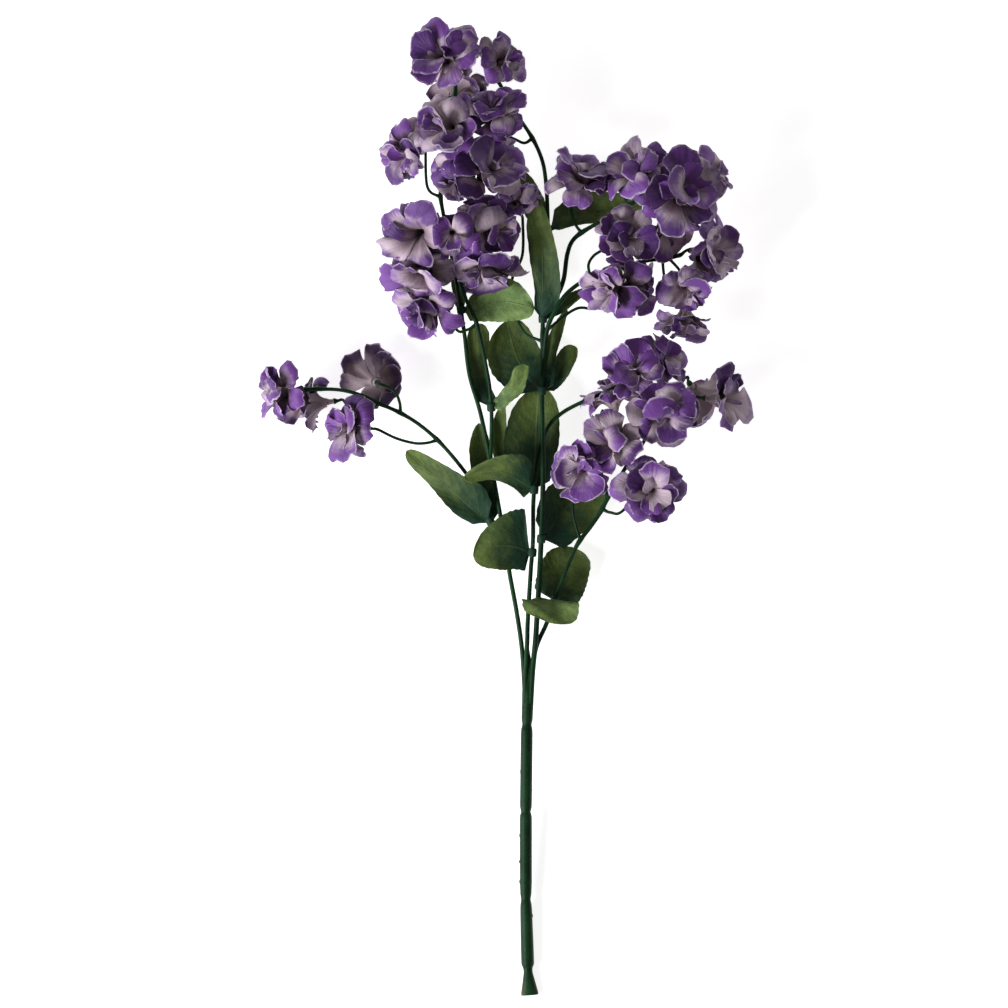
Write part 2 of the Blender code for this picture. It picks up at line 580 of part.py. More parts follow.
def leaf_blade(tip, width, roll, arch, root, home):
    """An oval leaf: rows of three points along an arched midrib, thickened by Solidify."""
    root, tip = np.array(root, float), np.array(tip, float)
    along = tip - root
    level = np.cross(along, (0.0, 0.0, 1.0))
    level /= np.linalg.norm(level)
    above = np.cross(level, along) / np.linalg.norm(along)
    roll = math.radians(roll)
    across = level * math.cos(roll) + above * math.sin(roll)
    faces_up = above * math.cos(roll) - level * math.sin(roll)
    bm = bmesh.new()
    rows = []
    for number, (share, breadth) in enumerate(LEAF_ROWS):
        middle = root + along * share + above * arch * math.sin(math.pi * share)
        half, wave = breadth * width / 2, LEAF_WAVE * (1 if number % 2 else -1)
        rows.append([bm.verts.new(Vector(
            middle + across * side * half
            + faces_up * breadth * (LEAF_FOLD * abs(side) + wave * side)) * MM)
            for side in (-1, 0, 1)])
    for low, high in zip(rows, rows[1:]):
        for k in range(2):
            bm.faces.new((low[k], low[k + 1], high[k + 1]))
            bm.faces.new((low[k], high[k + 1], high[k]))
    mesh = bpy.data.meshes.new("leaf")
    bm.to_mesh(mesh)
    bm.free()
    blade = keep_mesh(mesh, "leaf", home)
    shell = blade.modifiers.new("thickness", "SOLIDIFY")
    shell.thickness = LEAF_THICKNESS * MM
    shell.offset = 0


def sleeve_place(name):
    """(middle, direction) of a whorl's sleeve, on the straight stretch of stalk nearest to it."""
    carrier, near, _ = WHORLS[name]
    near = np.array(near, float)
    best = None
    for points in STALKS[carrier]:
        route = smooth_route(points, STALK_STEP)
        for start, end in zip(route, route[1:]):
            length = np.linalg.norm(end - start)
            way = (end - start) / length
            margin = min(SLEEVE_LENGTH / 2, length / 2)
            middle = start + way * np.clip((near - start) @ way, margin, length - margin)
            found = (np.linalg.norm(near - middle), tuple(middle), tuple(way))
            best = min(best, found) if best else found
    return np.array(best[1]), np.array(best[2])


def make_whorl(name, home):
    """A sleeve round the stalk with its leaves moulded on, and the stalk's bore cut through it."""
    middle, way = sleeve_place(name)
    leaves = WHORLS[name][2]
    bore = STALK_RADIUS + GAP
    ends = (middle - way * SLEEVE_LENGTH / 2, middle + way * SLEEVE_LENGTH / 2)
    whorl = tube(name, ends, (bore + SLEEVE_WALL,) * 2, SLEEVE_SIDES, home)
    blades = new_collection("blades")
    for tip, width, roll, arch in leaves:
        out = np.array(tip, float) - middle
        out -= way * (out @ way)
        out /= np.linalg.norm(out)
        root = middle + out * (bore + LEAF_INSET)
        leaf_blade(tip, width, roll, arch, root, blades)
    apply_boolean(whorl, "UNION", blades)
    cutters = new_collection("bores")
    ends = (middle - way * BORE_REACH, middle + way * BORE_REACH)
    tube("bore", ends, (bore,) * 2, SLEEVE_SIDES, cutters)
    apply_boolean(whorl, "DIFFERENCE", cutters)
    whorl.data.materials.clear()
    whorl.data.materials.append(material(*LEAF_FABRIC))


def main():
    clear_scene()
    home = new_collection("artificial gypsophila stem")
    make_stem(home)
    for name in STALKS:
        make_branch(name, home)
    for name in WHORLS:
        make_whorl(name, home)
    for name in BLOOMS:
        make_bloom(name, home)


main()
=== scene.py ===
"""The looks of an artificial double gypsophila stem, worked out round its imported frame.

A jointed plastic stem carries four branch stalks. Ruffled cloth blooms sit on the stalks' twigs,
and whorls of cloth leaves are sleeved on the stalks. +Y runs from the cut end to the top of the
stem, +X to the right of it, +Z up from the table. The tables hold millimetres and degrees; the
meshes are in metres.
"""

import math
import random

import bpy
import numpy as np
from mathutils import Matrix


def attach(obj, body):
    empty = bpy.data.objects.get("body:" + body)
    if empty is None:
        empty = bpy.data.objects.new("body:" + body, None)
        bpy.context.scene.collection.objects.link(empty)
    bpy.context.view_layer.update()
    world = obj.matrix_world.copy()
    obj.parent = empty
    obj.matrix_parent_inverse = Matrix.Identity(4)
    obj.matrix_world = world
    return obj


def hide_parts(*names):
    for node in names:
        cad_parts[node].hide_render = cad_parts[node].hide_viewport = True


bl_info = {
    "name": "Artificial gypsophila stem",
    "version": (1, 0, 0),
    "blender": (4, 5, 0),
    "location": "3D View > Sidebar > Stem",
    "description": "Dresses the frame of an artificial stem in moulded plastic and cloth",
    "category": "Object",
}

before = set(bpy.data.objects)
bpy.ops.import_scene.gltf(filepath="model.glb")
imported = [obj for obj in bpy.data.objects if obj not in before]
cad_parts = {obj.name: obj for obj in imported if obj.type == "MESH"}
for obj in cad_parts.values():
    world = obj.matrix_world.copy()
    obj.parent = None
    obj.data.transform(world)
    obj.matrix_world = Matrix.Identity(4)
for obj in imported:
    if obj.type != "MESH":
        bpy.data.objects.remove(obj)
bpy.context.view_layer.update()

MM = 0.001
TINY = 1e-9              # keeps a direction without length from dividing by zero
SHARP_ANGLE = 55         # edges that turn more than this are shaded as edges

STEM_SLOPE = 0.056       # how steeply the jointed stem rises from the table
STEM_FOOT = (-276, 3.25)  # y and z of the stem's axis where it rests
STEM_TOP = -117          # y of the face that the branch stalks stand on
ROOT_DEPTH = 2           # how far below that face the stalks' routes start
PINCH = 0.48             # thickness over width where the cut end was nipped flat
CUT_END = -280           # y up to which that end is flattened and scuffed
WEAR_POWER = 4           # how closely the scuffs keep to the two sides of that end
RING_STEP = 0.9          # between the rings of the jointed stem
STEM_SKIN = 0.22         # added to the profile's radii
MEAN_RADIUS = 3.3        # of the jointed stem, for distances round it
SEAM_HEIGHT = 0.1
SEAM_WIDTH = 0.1         # as the sine of the angle from the seam
SEAM_FULL = 3            # radius from which the seam has its full height
LOBES = 4                # bulges round the stem's top, one to each stalk
LOBE_RANGE = (-116, -104)  # y over which they rise
LOBE_DEPTH = 0.13        # as a share of the radius
NUB_WIDTH = 0.75
ROOT_OFFSET = 1.65       # half the spacing of the four stalks at the stem
STALK_RADIUS = 1.45      # at the stem
FORK_THINNING = 0.85     # first radius of a side stalk over STALK_RADIUS
STOUT = 1.2              # radii of the middle branch over those of the others
TIP_RADIUS = 1.1         # where a stalk ends in a bloom
TWIG_RADIUS = 0.9
TWIG_LEAD = 7.0          # a twig's straight end on the bloom's axis, at most
LEAD_SHARE = 0.45        # and as a share of the twig's length
LEAD_SPARE = 1           # how much longer than the calyx a lead is that gets two points
FORK_SWELLING = 0.35     # added to the radii where one stalk or twig leaves another
FORK_REACH = 3           # how far a stalk is swollen round a fork
TWIG_REACH = 2.5         # and a twig from its root
CALYX_RADIUS = 1.9
CALYX_LENGTH = 3
CALYX_END = 0.2          # distance from the neck at which the calyx is thickest
CLOTH_REST = 0.2         # least height of all points but a leaf's above the table

FLARE_RADIUS = 2.2       # of the circle that a bloom's petals spring from
BLOOM_REACH = 11.5       # from a bloom's neck to the middle of its body
BLOOM_ROOM = 27.2        # blooms nearer than this, times their sizes, share out the room
PRESS_MARGIN = 5         # depth over which a petal gives way to a neighbour
PRESS_RISE = 1.6         # how soon along its length a petal gives way in full
WILT = (-20, 14)         # range of degrees that a petal bends further in or out
CURL = 1.6               # greatest curl of a petal, which lifts one half and lowers the other
CURL_GAIN = 1.3          # millimetres that a curl of 1 does so

LEAF_FOLD = 1.6          # rise of a leaf's edges above its midrib
FOLD_SOFTNESS = 0.03     # added to u^2 below the root, so that the fold isn't sharp
FOLD_LEVEL = 0.17        # taken off again, so that the midrib stays in place
LEAF_REST = 0.5          # least height of a leaf's middle above the table
TIP_START = 0.7          # share of a leaf's length where its tip starts to close
TIP_POWER = 2.6          # how blunt the tip is
LEAST_BREADTH = 0.04     # of the tip, as a share of the outline's
ROOT_END = 0.1           # share of a leaf's length where its root has opened
ROOT_BREADTH = 0.12      # where it starts, as a share of the outline's
ROOT_POWER = 1.2
RAGGED = (0.012, 61, 3)  # the edge's raggedness: share of the breadth, waves, power of |u|
SWING = (0.9, 2, 5.5)    # the edges swing opposite ways: height, power of |u|, radians along
RIPPLE = (0.7, 3, 12)    # and ripple together, in the same terms
BULGE = (0.5, 4, 7)      # and the blade bulges: height, radians across and along
QUILTING = 0.15          # height of the cloth between the side veins
VEINS = 9                # pairs of side veins
VEIN_SLANT = 2.6         # how many veins' spacing one runs forward from the midrib to the edge
VEIN_POWER = 1.4
SLEEVE_LENGTH = 5
SLEEVE_RINGS = 9
SLEEVE_INNER = 1.75
SLEEVE_OUTER = 2.65
SLEEVE_ROUNDING = 0.35   # how much thinner its ends are
SLEEVE_STEP = 2.0        # between the places of a stalk that a sleeve may have
PRONG_LENGTH = 5
PRONG_RINGS = 8
PRONG_SIDES = 10
PRONG_RADII = (1.0, 0.45)
ENDS_POWER = 4           # keeps the rounding of a sleeve and of a petal's breadth at their ends
# What the leaf material takes sleeves and prongs for: a dark leaf's front, close to its root
SLEEVE_TINT = (0.1, 0.1, 1)
SLEEVE_PATTERN = (0.5, 0.02, 0)
PRONG_PATTERN = (0.3, 0.05, 0)

# y and radius along the jointed stem, from the nipped end to the core between the stalks
STEM_PROFILE = (
    (-294, 4.9), (-292, 4.75), (-287, 3.7), (-281, 2.5), (-279.2, 2.35), (-277.5, 2.6),
    (-275.8, 3.4), (-274.5, 3.55), (-263, 3.5), (-243, 3.25), (-239.5, 3.05), (-237.6, 2.65),
    (-236.6, 2.55), (-235.4, 2.7), (-233.4, 3.05), (-227, 3.3), (-187.4, 3.35), (-185.6, 3.1),
    (-184.6, 2.6), (-183.8, 2.55), (-182.9, 2.85), (-181.4, 3.2), (-178, 3.3), (-137, 3.25),
    (-134.4, 3.1), (-132.8, 2.7), (-131.8, 2.5), (-130.8, 2.65), (-128.6, 3.05), (-125, 3.1),
    (-122.6, 3.1), (-122.2, 3.25), (-121.4, 3.15), (-112, 3.3), (-106, 3.3), (-100, 2.9),
    (-94, 2.1), (-88, 1.0), (-84, 0.3),
)
# (y, turn round the stem, height) of the small nubs that the mould left
NUBS = ((-198.2, 180, 0.5), (-214, 180, 0.65), (-226, 180, 0.6), (-246.5, 0, 0.5),
        (-190.5, 40, 0.25), (-160, 180, 0.25), (-171, 10, 0.2), (-266, 100, 0.25))
# y and x of the jointed stem's axis, which bows a little
STEM_BOW = ((-294, 15.5), (-278, 14.3), (-237, 13.1), (-184, 13.1), (-133, 13.7), (STEM_TOP, 14.3))


def stem_z(y):
    """Height of the jointed stem's axis at y."""
    return STEM_FOOT[1] + (y - STEM_FOOT[0]) * STEM_SLOPE


def stem_root(side, level):
    """Where a stalk leaves the stem's top: side and level are -1 or 1."""
    x = STEM_BOW[-1][1] + side * ROOT_OFFSET
    y = STEM_TOP - ROOT_DEPTH
    return [(x, y, stem_z(y) + level * ROOT_OFFSET)]


# Routes of the stalks through the middle of each spray, in order from the stem to the last bloom
LEFT_STALK = stem_root(-1, -1) + [
    (11.8, -100, 11.6), (10.4, -83, 12.6), (7.4, -63, 13.8), (3.2, -40, 15), (1.5, -25, 16),
    (-2.4, -5, 17.3), (-8.3, 27, 19.5), (-14.1, 55, 21.5), (-20.7, 78, 23), (-23.7, 102, 24.5),
    (-26.7, 123, 25.5), (-30.9, 147, 26.5), (-36.3, 174, 27.5), (-38.1, 187, 28),
    (-36.3, 201, 28.5), (-32.7, 225, 29), (-29.1, 249, 30), (-30.9, 261, 31),
]
OUTER_STALK = [
    (1.5, -25, 16), (-3.9, -18, 16.5), (-8.1, -10, 17), (-10.5, 0, 18), (-16.5, 10.2, 19),
    (-24.3, 21, 20.5), (-32.1, 30.6, 22), (-40.5, 39.6, 23), (-51.3, 48.6, 24.5),
    (-62.1, 55.2, 26), (-74.1, 60.6, 27.5), (-86.1, 66, 29.5), (-98.1, 69, 31.5),
    (-111, 69.6, 33), (-119, 69.4, 33),
]
INNER_STALK = [
    (-8.3, 27, 19.5), (-7.5, 42, 21.5), (-7.5, 55, 23.5), (-8.2, 66, 25), (-9.9, 78.6, 26.5),
    (-16.2, 108, 29), (-23, 124, 30.5), (-26.5, 137, 31.5), (-27, 150, 32), (-24, 166, 32),
    (-18, 180, 32.5), (-13.5, 190, 34),
]
BACK_STALK = stem_root(-1, 1) + [
    (13.1, -100, 15.2), (13.9, -83, 16.5), (14.3, -69, 17.3), (16, -40, 18.5),
    (17.4, -21, 19.3), (17.7, 3, 20.3), (20.1, 27, 20.8), (25.5, 45, 21), (35.1, 55.4, 21.8),
    (51.3, 63.8, 23.5), (60.9, 67.8, 24.5), (67.5, 70.8, 25.5), (81.9, 70.2, 26.5),
    (96.9, 67.8, 27.5), (112, 67, 28.5),
]
MIDDLE_STALK = stem_root(1, 1) + [
    (17.1, -100, 15.5), (18.8, -83, 17), (19.7, -69, 18), (22, -28, 20.5), (23.4, 15, 23.5),
    (22.8, 63, 26.5), (23.3, 83, 27.5), (23.3, 115, 29), (23.7, 129, 29.5), (26.1, 153, 30.5),
    (26.1, 177, 31), (24.9, 196, 31.5), (22.5, 208, 32), (17.1, 220, 32), (8.7, 233, 31.5),
    (2, 245, 30.5), (-4, 255, 28.5),
]
HIGH_STALK = [
    (23.5, 119, 29), (28, 122, 28), (32.5, 127, 27.5), (35.9, 136, 28), (38.1, 151, 30),
    (42.3, 160, 32), (53.1, 167.4, 33), (60.3, 170.4, 33), (72.9, 178.2, 32), (84.9, 186, 33),
    (96, 189, 35.5),
]
ARCHED_STALK = [
    (23.2, 78, 27.2), (24, 90, 30), (26.1, 106, 35), (30.9, 117, 38), (36.9, 126, 38),
    (44.7, 132.6, 36), (51.9, 136.2, 35.5), (60.9, 139.8, 34.5), (71.1, 142.8, 33.5),
    (84.9, 146.4, 32), (98.7, 148.2, 31.5), (106, 150, 31),
]
RIGHT_STALK = stem_root(1, -1) + [
    (17.1, -100, 11.8), (19.5, -85, 13), (25.7, -70.6, 15), (32.8, -51, 17.3), (42.9, -25.8, 19.5),
    (51.9, -13.2, 21), (57.9, -4.2, 22), (65.7, 10.8, 24), (74.1, 24, 26), (80.7, 33, 27.5),
    (86.1, 42, 28.5), (90, 51, 30),
]
BENT_STALK = [
    (62.1, 4.8, 23), (57.9, 21, 20), (54.3, 39, 19), (57, 51, 19), (60, 57, 19.2),
]

STALKS = {
    "left_branch": (LEFT_STALK, OUTER_STALK, INNER_STALK),
    "back_branch": (BACK_STALK,),
    "middle_branch": (MIDDLE_STALK, HIGH_STALK, ARCHED_STALK),
    "right_branch": (RIGHT_STALK, BENT_STALK),
}

# The blooms of each spray: the branch that carries one, the middle of its body, the direction that
# it faces (turned from +X towards +Y, and raised above the level), its size, and its twig's first
# points
SPRAYS = {
    "upper": [
        ("left", (-34.5, 269, 46), (120, 62), 1.12, [(-30.9, 261, 31)]),
        ("middle", (-1.2, 267, 36), (30, 50), 0.73, [(-4, 255, 28.5)]),
        ("left", (-27.3, 252, 14), (60, -25), 0.85, [(-29.4, 247, 30)]),
        ("left", (-32, 226, 49), (150, 68), 1.12, [(-33.3, 221, 29)]),
        ("middle", (-7, 235, 47), (100, 52), 0.86,
         [(17.1, 220, 32), (12.3, 217.2, 31.5), (6.5, 219.5, 31)]),
        ("left", (-56.8, 212, 34), (200, 55), 0.93, [(-38, 184.5, 28), (-46, 191, 29)]),
        ("left", (-10.5, 199, 50), (40, 65), 1.25, [(-13.5, 190, 34)]),
        ("left", (-28.5, 197, 44), (240, 42), 0.88, [(-36, 203, 28.5)]),
        ("left", (-10.5, 167, 41), (-40, 55), 1.1, [(-24, 166, 32)]),
        ("middle", (9, 183, 31), (100, 35), 0.75,
         [(23.2, 98, 28.1), (12, 104, 25), (5.5, 120, 22), (5, 136, 21), (11, 150, 21)]),
        ("left", (-49.5, 161.5, 48), (-110, 66), 1.18, [(-34, 163, 27)]),
        ("left", (-30, 161, 54), (-60, 65), 0.78, [(-26.8, 153, 32)]),
        ("left", (-48.5, 138, 37), (-120, 56), 1.1, [(-30.5, 145, 26.4)]),
        ("left", (-47, 119.5, 31), (230, 42), 1.02,
         [(-16.5, 108.6, 29), (-22.5, 105, 28), (-29.1, 106.2, 27)]),
        ("left", (-11, 143, 36), (255, 26), 1.05, [(-23.5, 168, 32), (-14, 164, 28)]),
    ],
    "right": [
        ("middle", (46, 195, 37), (82, 36), 1.02,
         [(46.5, 163.2, 33), (42, 170, 32), (40.2, 180, 30)]),
        ("middle", (82.5, 198, 43), (110, 55), 1.1,
         [(83.1, 185, 33), (74.7, 181, 31), (73.5, 186, 30)]),
        ("middle", (107, 187.5, 49), (45, 70), 1.25, [(96, 189, 35.5)]),
        ("middle", (122.8, 195.6, 30), (14, 25), 0.85, [(91, 187.8, 34.5), (104, 192, 29)]),
        ("middle", (73.5, 160, 45), (20, 65), 0.95,
         [(51.9, 136.2, 35.5), (50.7, 144, 34), (53.7, 149.4, 31), (59.1, 153, 26)]),
        ("middle", (98.5, 166, 34), (-60, 30), 0.95, [(80, 183.3, 32.5)]),
        ("middle", (121.8, 151.8, 38), (-5, 40), 1.12, [(106, 150, 31)]),
        ("middle", (66, 131, 48), (225, 48), 1.02, [(71.1, 142.8, 33.5)]),
        ("middle", (77.5, 130.5, 33), (-30, 35), 0.8,
         [(23.2, 102, 28.3), (32, 110, 31), (44, 118, 28), (58, 119, 22)]),
        ("middle", (110.5, 131.5, 36), (-60, 40), 0.92, [(98.7, 148.2, 31.5)]),
        ("middle", (107.4, 112.5, 28), (262, 30), 0.9,
         [(95, 147.8, 31.7), (97, 135, 22), (106, 123, 21)]),
    ],
    "low": [
        ("back", (79.8, 79, 42), (110, 60), 0.92, [(67.5, 70.8, 25.5)]),
        ("back", (94.2, 88, 34), (30, 40), 0.83, [(82, 70.2, 26.5)]),
        ("right", (65.5, 63.5, 16), (100, -10), 0.88, [(60, 57, 19.2)]),
        ("right", (97.5, 55.3, 46), (-70, 62), 1.09, [(90, 51, 30)]),
        ("back", (115, 66, 16), (-62, -50), 1.06, [(98, 67.7, 27.6)]),
        ("back", (131.4, 62.6, 34), (-8, 18), 0.97, [(112, 67, 28.5)]),
        ("right", (67.5, 36.5, 40), (150, 60), 1.0, [(74.1, 24, 26), (75, 31, 25)]),
        ("right", (46, 21.5, 36), (200, 65), 0.85,
         [(45.9, -21.3, 20), (42.3, -9, 22), (41.4, 0, 23), (44, 11, 23)]),
        ("right", (88.2, 9, 43), (-60, 72), 1.05,
         [(59.1, -2.5, 22.2), (63.9, -4.5, 24), (71.1, -3.6, 26)]),
    ],
    "left": [
        ("left", (-134.5, 68.3, 33), (172, 28), 0.8, [(-119, 69.4, 33)]),
        ("left", (-122.5, 63.5, 14), (240, 20), 0.8, [(-111, 69.6, 33), (-116, 68, 24)]),
        ("left", (-111, 61, 21), (188, 8), 0.78,
         [(-74.1, 60.6, 27.5), (-83.1, 58.2, 26.5), (-92, 58.2, 26)]),
        ("left", (-78, 74.5, 22), (150, -78), 0.96,
         [(-62.1, 55.2, 26), (-62.7, 61.8, 30), (-66.3, 69, 33.5)]),
        ("left", (-91.5, 48, 30), (170, 24), 0.95,
         [(-39.9, 39, 23), (-46.5, 37.2, 23.5), (-54.3, 37.2, 24), (-65.1, 40.2, 25)]),
    ],
}
BLOOMS = {f"bloom_{spray}_{number:02d}": (carrier + "_branch", *bloom)
          for spray, blooms in SPRAYS.items()
          for number, (carrier, *bloom) in enumerate(blooms, 1)}

# Each whorl: the branch that it is sleeved on, a point near its sleeve, and its leaves. A leaf's
# numbers are its tip, its roll about the midrib in degrees, the height of the midrib's arch, how
# light (partly its own tone and partly painted light, after how brightly it is lit), how yellow and
# how crumpled it is, how far its midrib bows to the right, and its breadths to the right and to the
# left of the midrib at equal steps from root to tip
LEAVES = {
    "right_low": ("right", (30.9, -58, 16.6), [
        ((41.5, -25.5, 7), 0, -3, 0.5, 0.95, 1.6, 0, (13, 15, 15, 14, 13), (13, 15, 15.5, 14, 11)),
        ((29, -71, 36), 0, 5, 0.75, 1.3, 2.4, 0, (8, 16, 20, 19, 13), (8, 12, 14.5, 15, 13))]),
    "back_low": ("back", (17, -28.5, 19), [
        ((-18.5, -30, 26), 8, 2, 0.35, 0.35, 1.0, 5, (27, 23, 18, 13, 10), (12, 13.5, 15, 12, 8))]),
    "middle_low": ("middle", (21.8, -21, 20.9), [
        ((57, 15, 10), -8, -4, 0.35, 0.35, 1.0, -3, (13, 16, 18, 16, 12), (8, 15, 17, 15, 10))]),
    "back": ("back", (17.8, 9, 20.4), [
        ((-24, 17, 28), 25, 3, 0.45, 0.6, 1.3, 7.5, (13, 17, 14, 9, 6), (8, 6.5, 6, 5.5, 4)),
        ((21, 71, 14), 0, -3, 0.2, 0.3, 0.9, 0, (8, 12, 14, 13, 11), (14, 18.5, 19.5, 16, 10)),
        ((-1, 60, 3), 20, -4, 0.3, 0.35, 1.0, -11, (3, 4, 5, 6.5, 5), (3, 4, 4.5, 6, 5))]),
    "left_low": ("left", (-8.3, -9.2, 17.1), [
        ((-58.5, 32.5, 18), 20, 4, 0.4, 0.5, 1.2, 0, (8, 16, 12, 8.3, 7), (5, 9, 7.5, 6.3, 6)),
        ((-15, 49, 9), -10, -3, 0.3, 0.4, 1.0, 0, (5, 6, 5, 4.5, 4), (4, 7, 9, 8.5, 5))]),
    "inner": ("left", (-7.6, 59, 24), [
        ((15, 83, 38), 40, 4, 0.8, 0.8, 1.6, 3, (5, 6.5, 6.5, 6.5, 5), (5, 6, 6, 7, 6)),
        ((-17, 109, 17), -10, -4, 0.3, 0.4, 1.0, -4, (6, 5, 6, 9, 10), (5, 6, 5.5, 5, 6))]),
    "middle": ("middle", (22.9, 68, 26.8), [
        ((2, 111, 10), 6, -6, 0.15, 0.15, 1.0, -4, (11, 13, 15, 13, 10), (11, 15, 18, 17, 13)),
        ((38, 117, 23), 20, -3, 0.35, 0.5, 1.6, -4, (6, 7, 5, 3.4, 3), (3, 3, 3, 3, 2.5)),
        ((43, 95, 22), 10, -2, 0.4, 0.2, 1.6, 0, (4, 6, 7, 5.5, 4), (3, 4, 5, 6.5, 7.5))]),
    "high": ("middle", (23.3, 112, 28.9), [
        ((20, 184, 38), 10, 4, 0.42, 0.5, 1.2, 2, (8, 11.5, 10, 7, 4), (4.5, 4.5, 8, 8.5, 6)),
        ((52, 131, 23), 20, -2, 0.3, 0.4, 1.2, 0, (2, 3, 3.5, 3, 2), (2, 3, 3.5, 3, 2))]),
    "top": ("middle", (26.1, 165, 30.8), [
        ((9.5, 201, 13), -12, -3, 0.6, 0.9, 1.0, 0, (3, 5, 6.5, 5.5, 4), (5, 8, 9.5, 9, 7)),
        ((83, 180, 20), 8, -3, 0.7, 0.9, 1.0, -3, (2, 3.5, 7, 8, 6), (8, 13, 13, 10, 6))]),
    "left_high": ("left", (-25.9, 117.5, 25.3), [
        ((18, 118, 29.5), -8, -3, 1.0, 0.45, 3.2, -4, (6, 11, 12, 10, 8), (3, 12, 18, 14, 8)),
        ((-28, 145, 19), 20, -2, 0.9, 0.5, 1.2, 0, (3, 4, 4, 3.5, 2), (3, 4, 4, 3.5, 2))]),
}
WHORLS = {"leaves_" + name: (carrier + "_branch", near, leaves)
          for name, (carrier, near, leaves) in LEAVES.items()}
SMOOTHING = 4            # rows over which a leaf's outline is evened out

# Petal layers, a skirt and then outer to inner: petals, arc length, arc's first and last angle off
# the axis, height where the layer springs from the neck, share of the arc that the gaps reach
LAYERS = (
    (5, 24.0, 14, 110, 3.0, 0.38),
    (5, 26, 6, 92, 4.4, 0.32),
    (3, 25.5, -6, 86, 6.0, 0.26),
    (3, 20, -16, 74, 7.6, 0.2),
)
# Each petal's mood runs from -1, a spoon that curls in, to 1, a dome that curls back; the lowest
# and highest mood of each layer
MOODS = ((0.0, 1.1), (-0.3, 1.3), (-0.5, 1.3), (-0.9, 1.1))
# The ranges of each petal's other chance numbers, in the order of the draws
PETAL_RANGES = {
    "ruffle": (0.3, 1.5),    # height of the waves at its rim
    "power": (1.7, 3.2),     # how square its outline is
    "sway": (-0.32, 0.32),   # radians that it bends to the side
    "phase": (0, 6.3),       # where its waves start
    "waves": (1.6, 3.6),     # how close they are
    "tint": (0, 1),          # what its colouring is taken from
    "crease": (-0.45, 0.45),  # the place of its fold
    "reach": (0.82, 1.12),   # its length as a share of the layer's
    "droop": (-22, 26),      # degrees that it leans more or less
    "twist": (-3.5, 3.5),    # how far one edge is lifted and the other lowered
}
# What a mood of 1 does to a petal
ROLL = 80                # degrees that its outer part rolls
ROLL_RANGE = (0.45, 1.1)  # shares of the arc between which it rolls
CUP = 4.8                # how far its sides drop
CUP_POWER = 1.8          # of |u| in their drop
CUP_LEVEL = 0.3          # share of the drop by which its middle rises
LEAN = 2                 # degrees that it leans out

TILT = 0.32              # how far a layer's axis may lean off the bloom's, as a slope
SPREAD = 0.34            # share by which petals are wider than their sectors
CLOTH_OVERLAP = 7        # how far the cloth of neighbouring blooms may lie over each other
FIRST_TURN = 72          # degrees from which a bloom's turn is drawn, one petal of five
UPRIGHT = 0.1            # an axis with a smaller level part than this counts as upright
CROWDING = (0.45, 0.55)  # shares of the even and the crowded spacing of a petal's columns
ROW_POWER = 0.9          # below 1, the rows of points are closer together at the rim
EDGE_POWER = 6           # of |u|: how near its edges a petal is held by its neighbours
FREE_FROM = 0.12         # share of the arc from which a petal moves on its own
TWIST = 0.9              # added to every petal's twist
CREASE_WIDTH = 0.13
CREASE_DEPTH = 0.6
SWELL = (0.8, 5)         # a petal's long waves: height, radians along
# The waves of a petal's outline: height, how many there are to a long wave, and what the phase is
# multiplied by
RIM_WAVES = ((0.03, 4, 1), (0.015, 9, 3))
# The waves of its surface near the rim: the share of a column where they start, and then the same
RUFFLE = (0.6, 2.6, 2)
CRUMPLE = (0.7, 7, 1)
CRUMPLE_HEIGHT = 0.35
INWARDS = 0.8            # how far inside the flare a petal may reach, as a share of its radius
# (height above the neck, radius) of a bloom's funnel, and 1 where it is inside the throat
FUNNEL = ((0.35, 0.4, 0), (0.35, 1.7, 0), (1.5, 1.9, 0), (3.0, 2.1, 0), (4.2, 2.4, 0),
          (4.6, 2.5, 0), (4.5, 2.2, 1), (3.4, 1.2, 1), (3.3, 0.2, 1))
# What the petal material takes the funnel for: cloth of middling chance, close to the root, so that
# its inside takes the throat's painted shade
FUNNEL_CHANCE = 0.5
FUNNEL_PATTERN = (0, 0.02, 0)

# Blooms that show their throat or their funnel: the layers that each has, and how much further
# its petals are joined
LOOSE_BLOOMS = {
    "upper_11": ((0, 1), 0.16), "upper_13": ((0, 1), 0.16), "upper_12": ((0, 2), 0),
    "low_07": ((1, 2), 0.16), "low_06": ((1, 2), 0.16), "low_05": ((1, 2), 0.1),
    "left_03": ((1, 2), 0.16), "left_04": ((1, 2), 0),
}

# Blooms with a petal that sticks out: the direction it points in, from +X towards +Y, and how much
# longer it is, as a share of the petal's arc
TONGUES = {
    "upper_01": (114, 0.2), "upper_05": (20, 0.12), "low_09": (-55, 0.12), "low_04": (15, 0.12),
    "right_11": (-75, 0.2), "left_05": (-62, 0.28), "upper_14": (232, 0.14), "upper_02": (-8, 0.14),
    "low_01": (138, 0.14),
}
TONGUE_MOOD = 0.1
TONGUE_BEND = 0.7        # radians that it may bend to the side
TONGUE_BENDS = 15        # bends that are tried


def unit(turn, rise):
    """The direction turned from +X towards +Y and raised above the level, both in degrees."""
    turn, rise = math.radians(turn), math.radians(rise)
    level = math.cos(rise)
    return np.array((level * math.cos(turn), level * math.sin(turn), math.sin(rise)))


def unit_rows(vectors):
    """The vectors divided by their lengths."""
    return vectors / np.maximum(np.linalg.norm(vectors, axis=-1, keepdims=True), TINY)


def smooth_step(values, low, high):
    """0 below low, 1 above high, and 3t^2 - 2t^3 between them."""
    t = np.clip((values - low) / (high - low), 0, 1)
    return t * t * (3 - 2 * t)


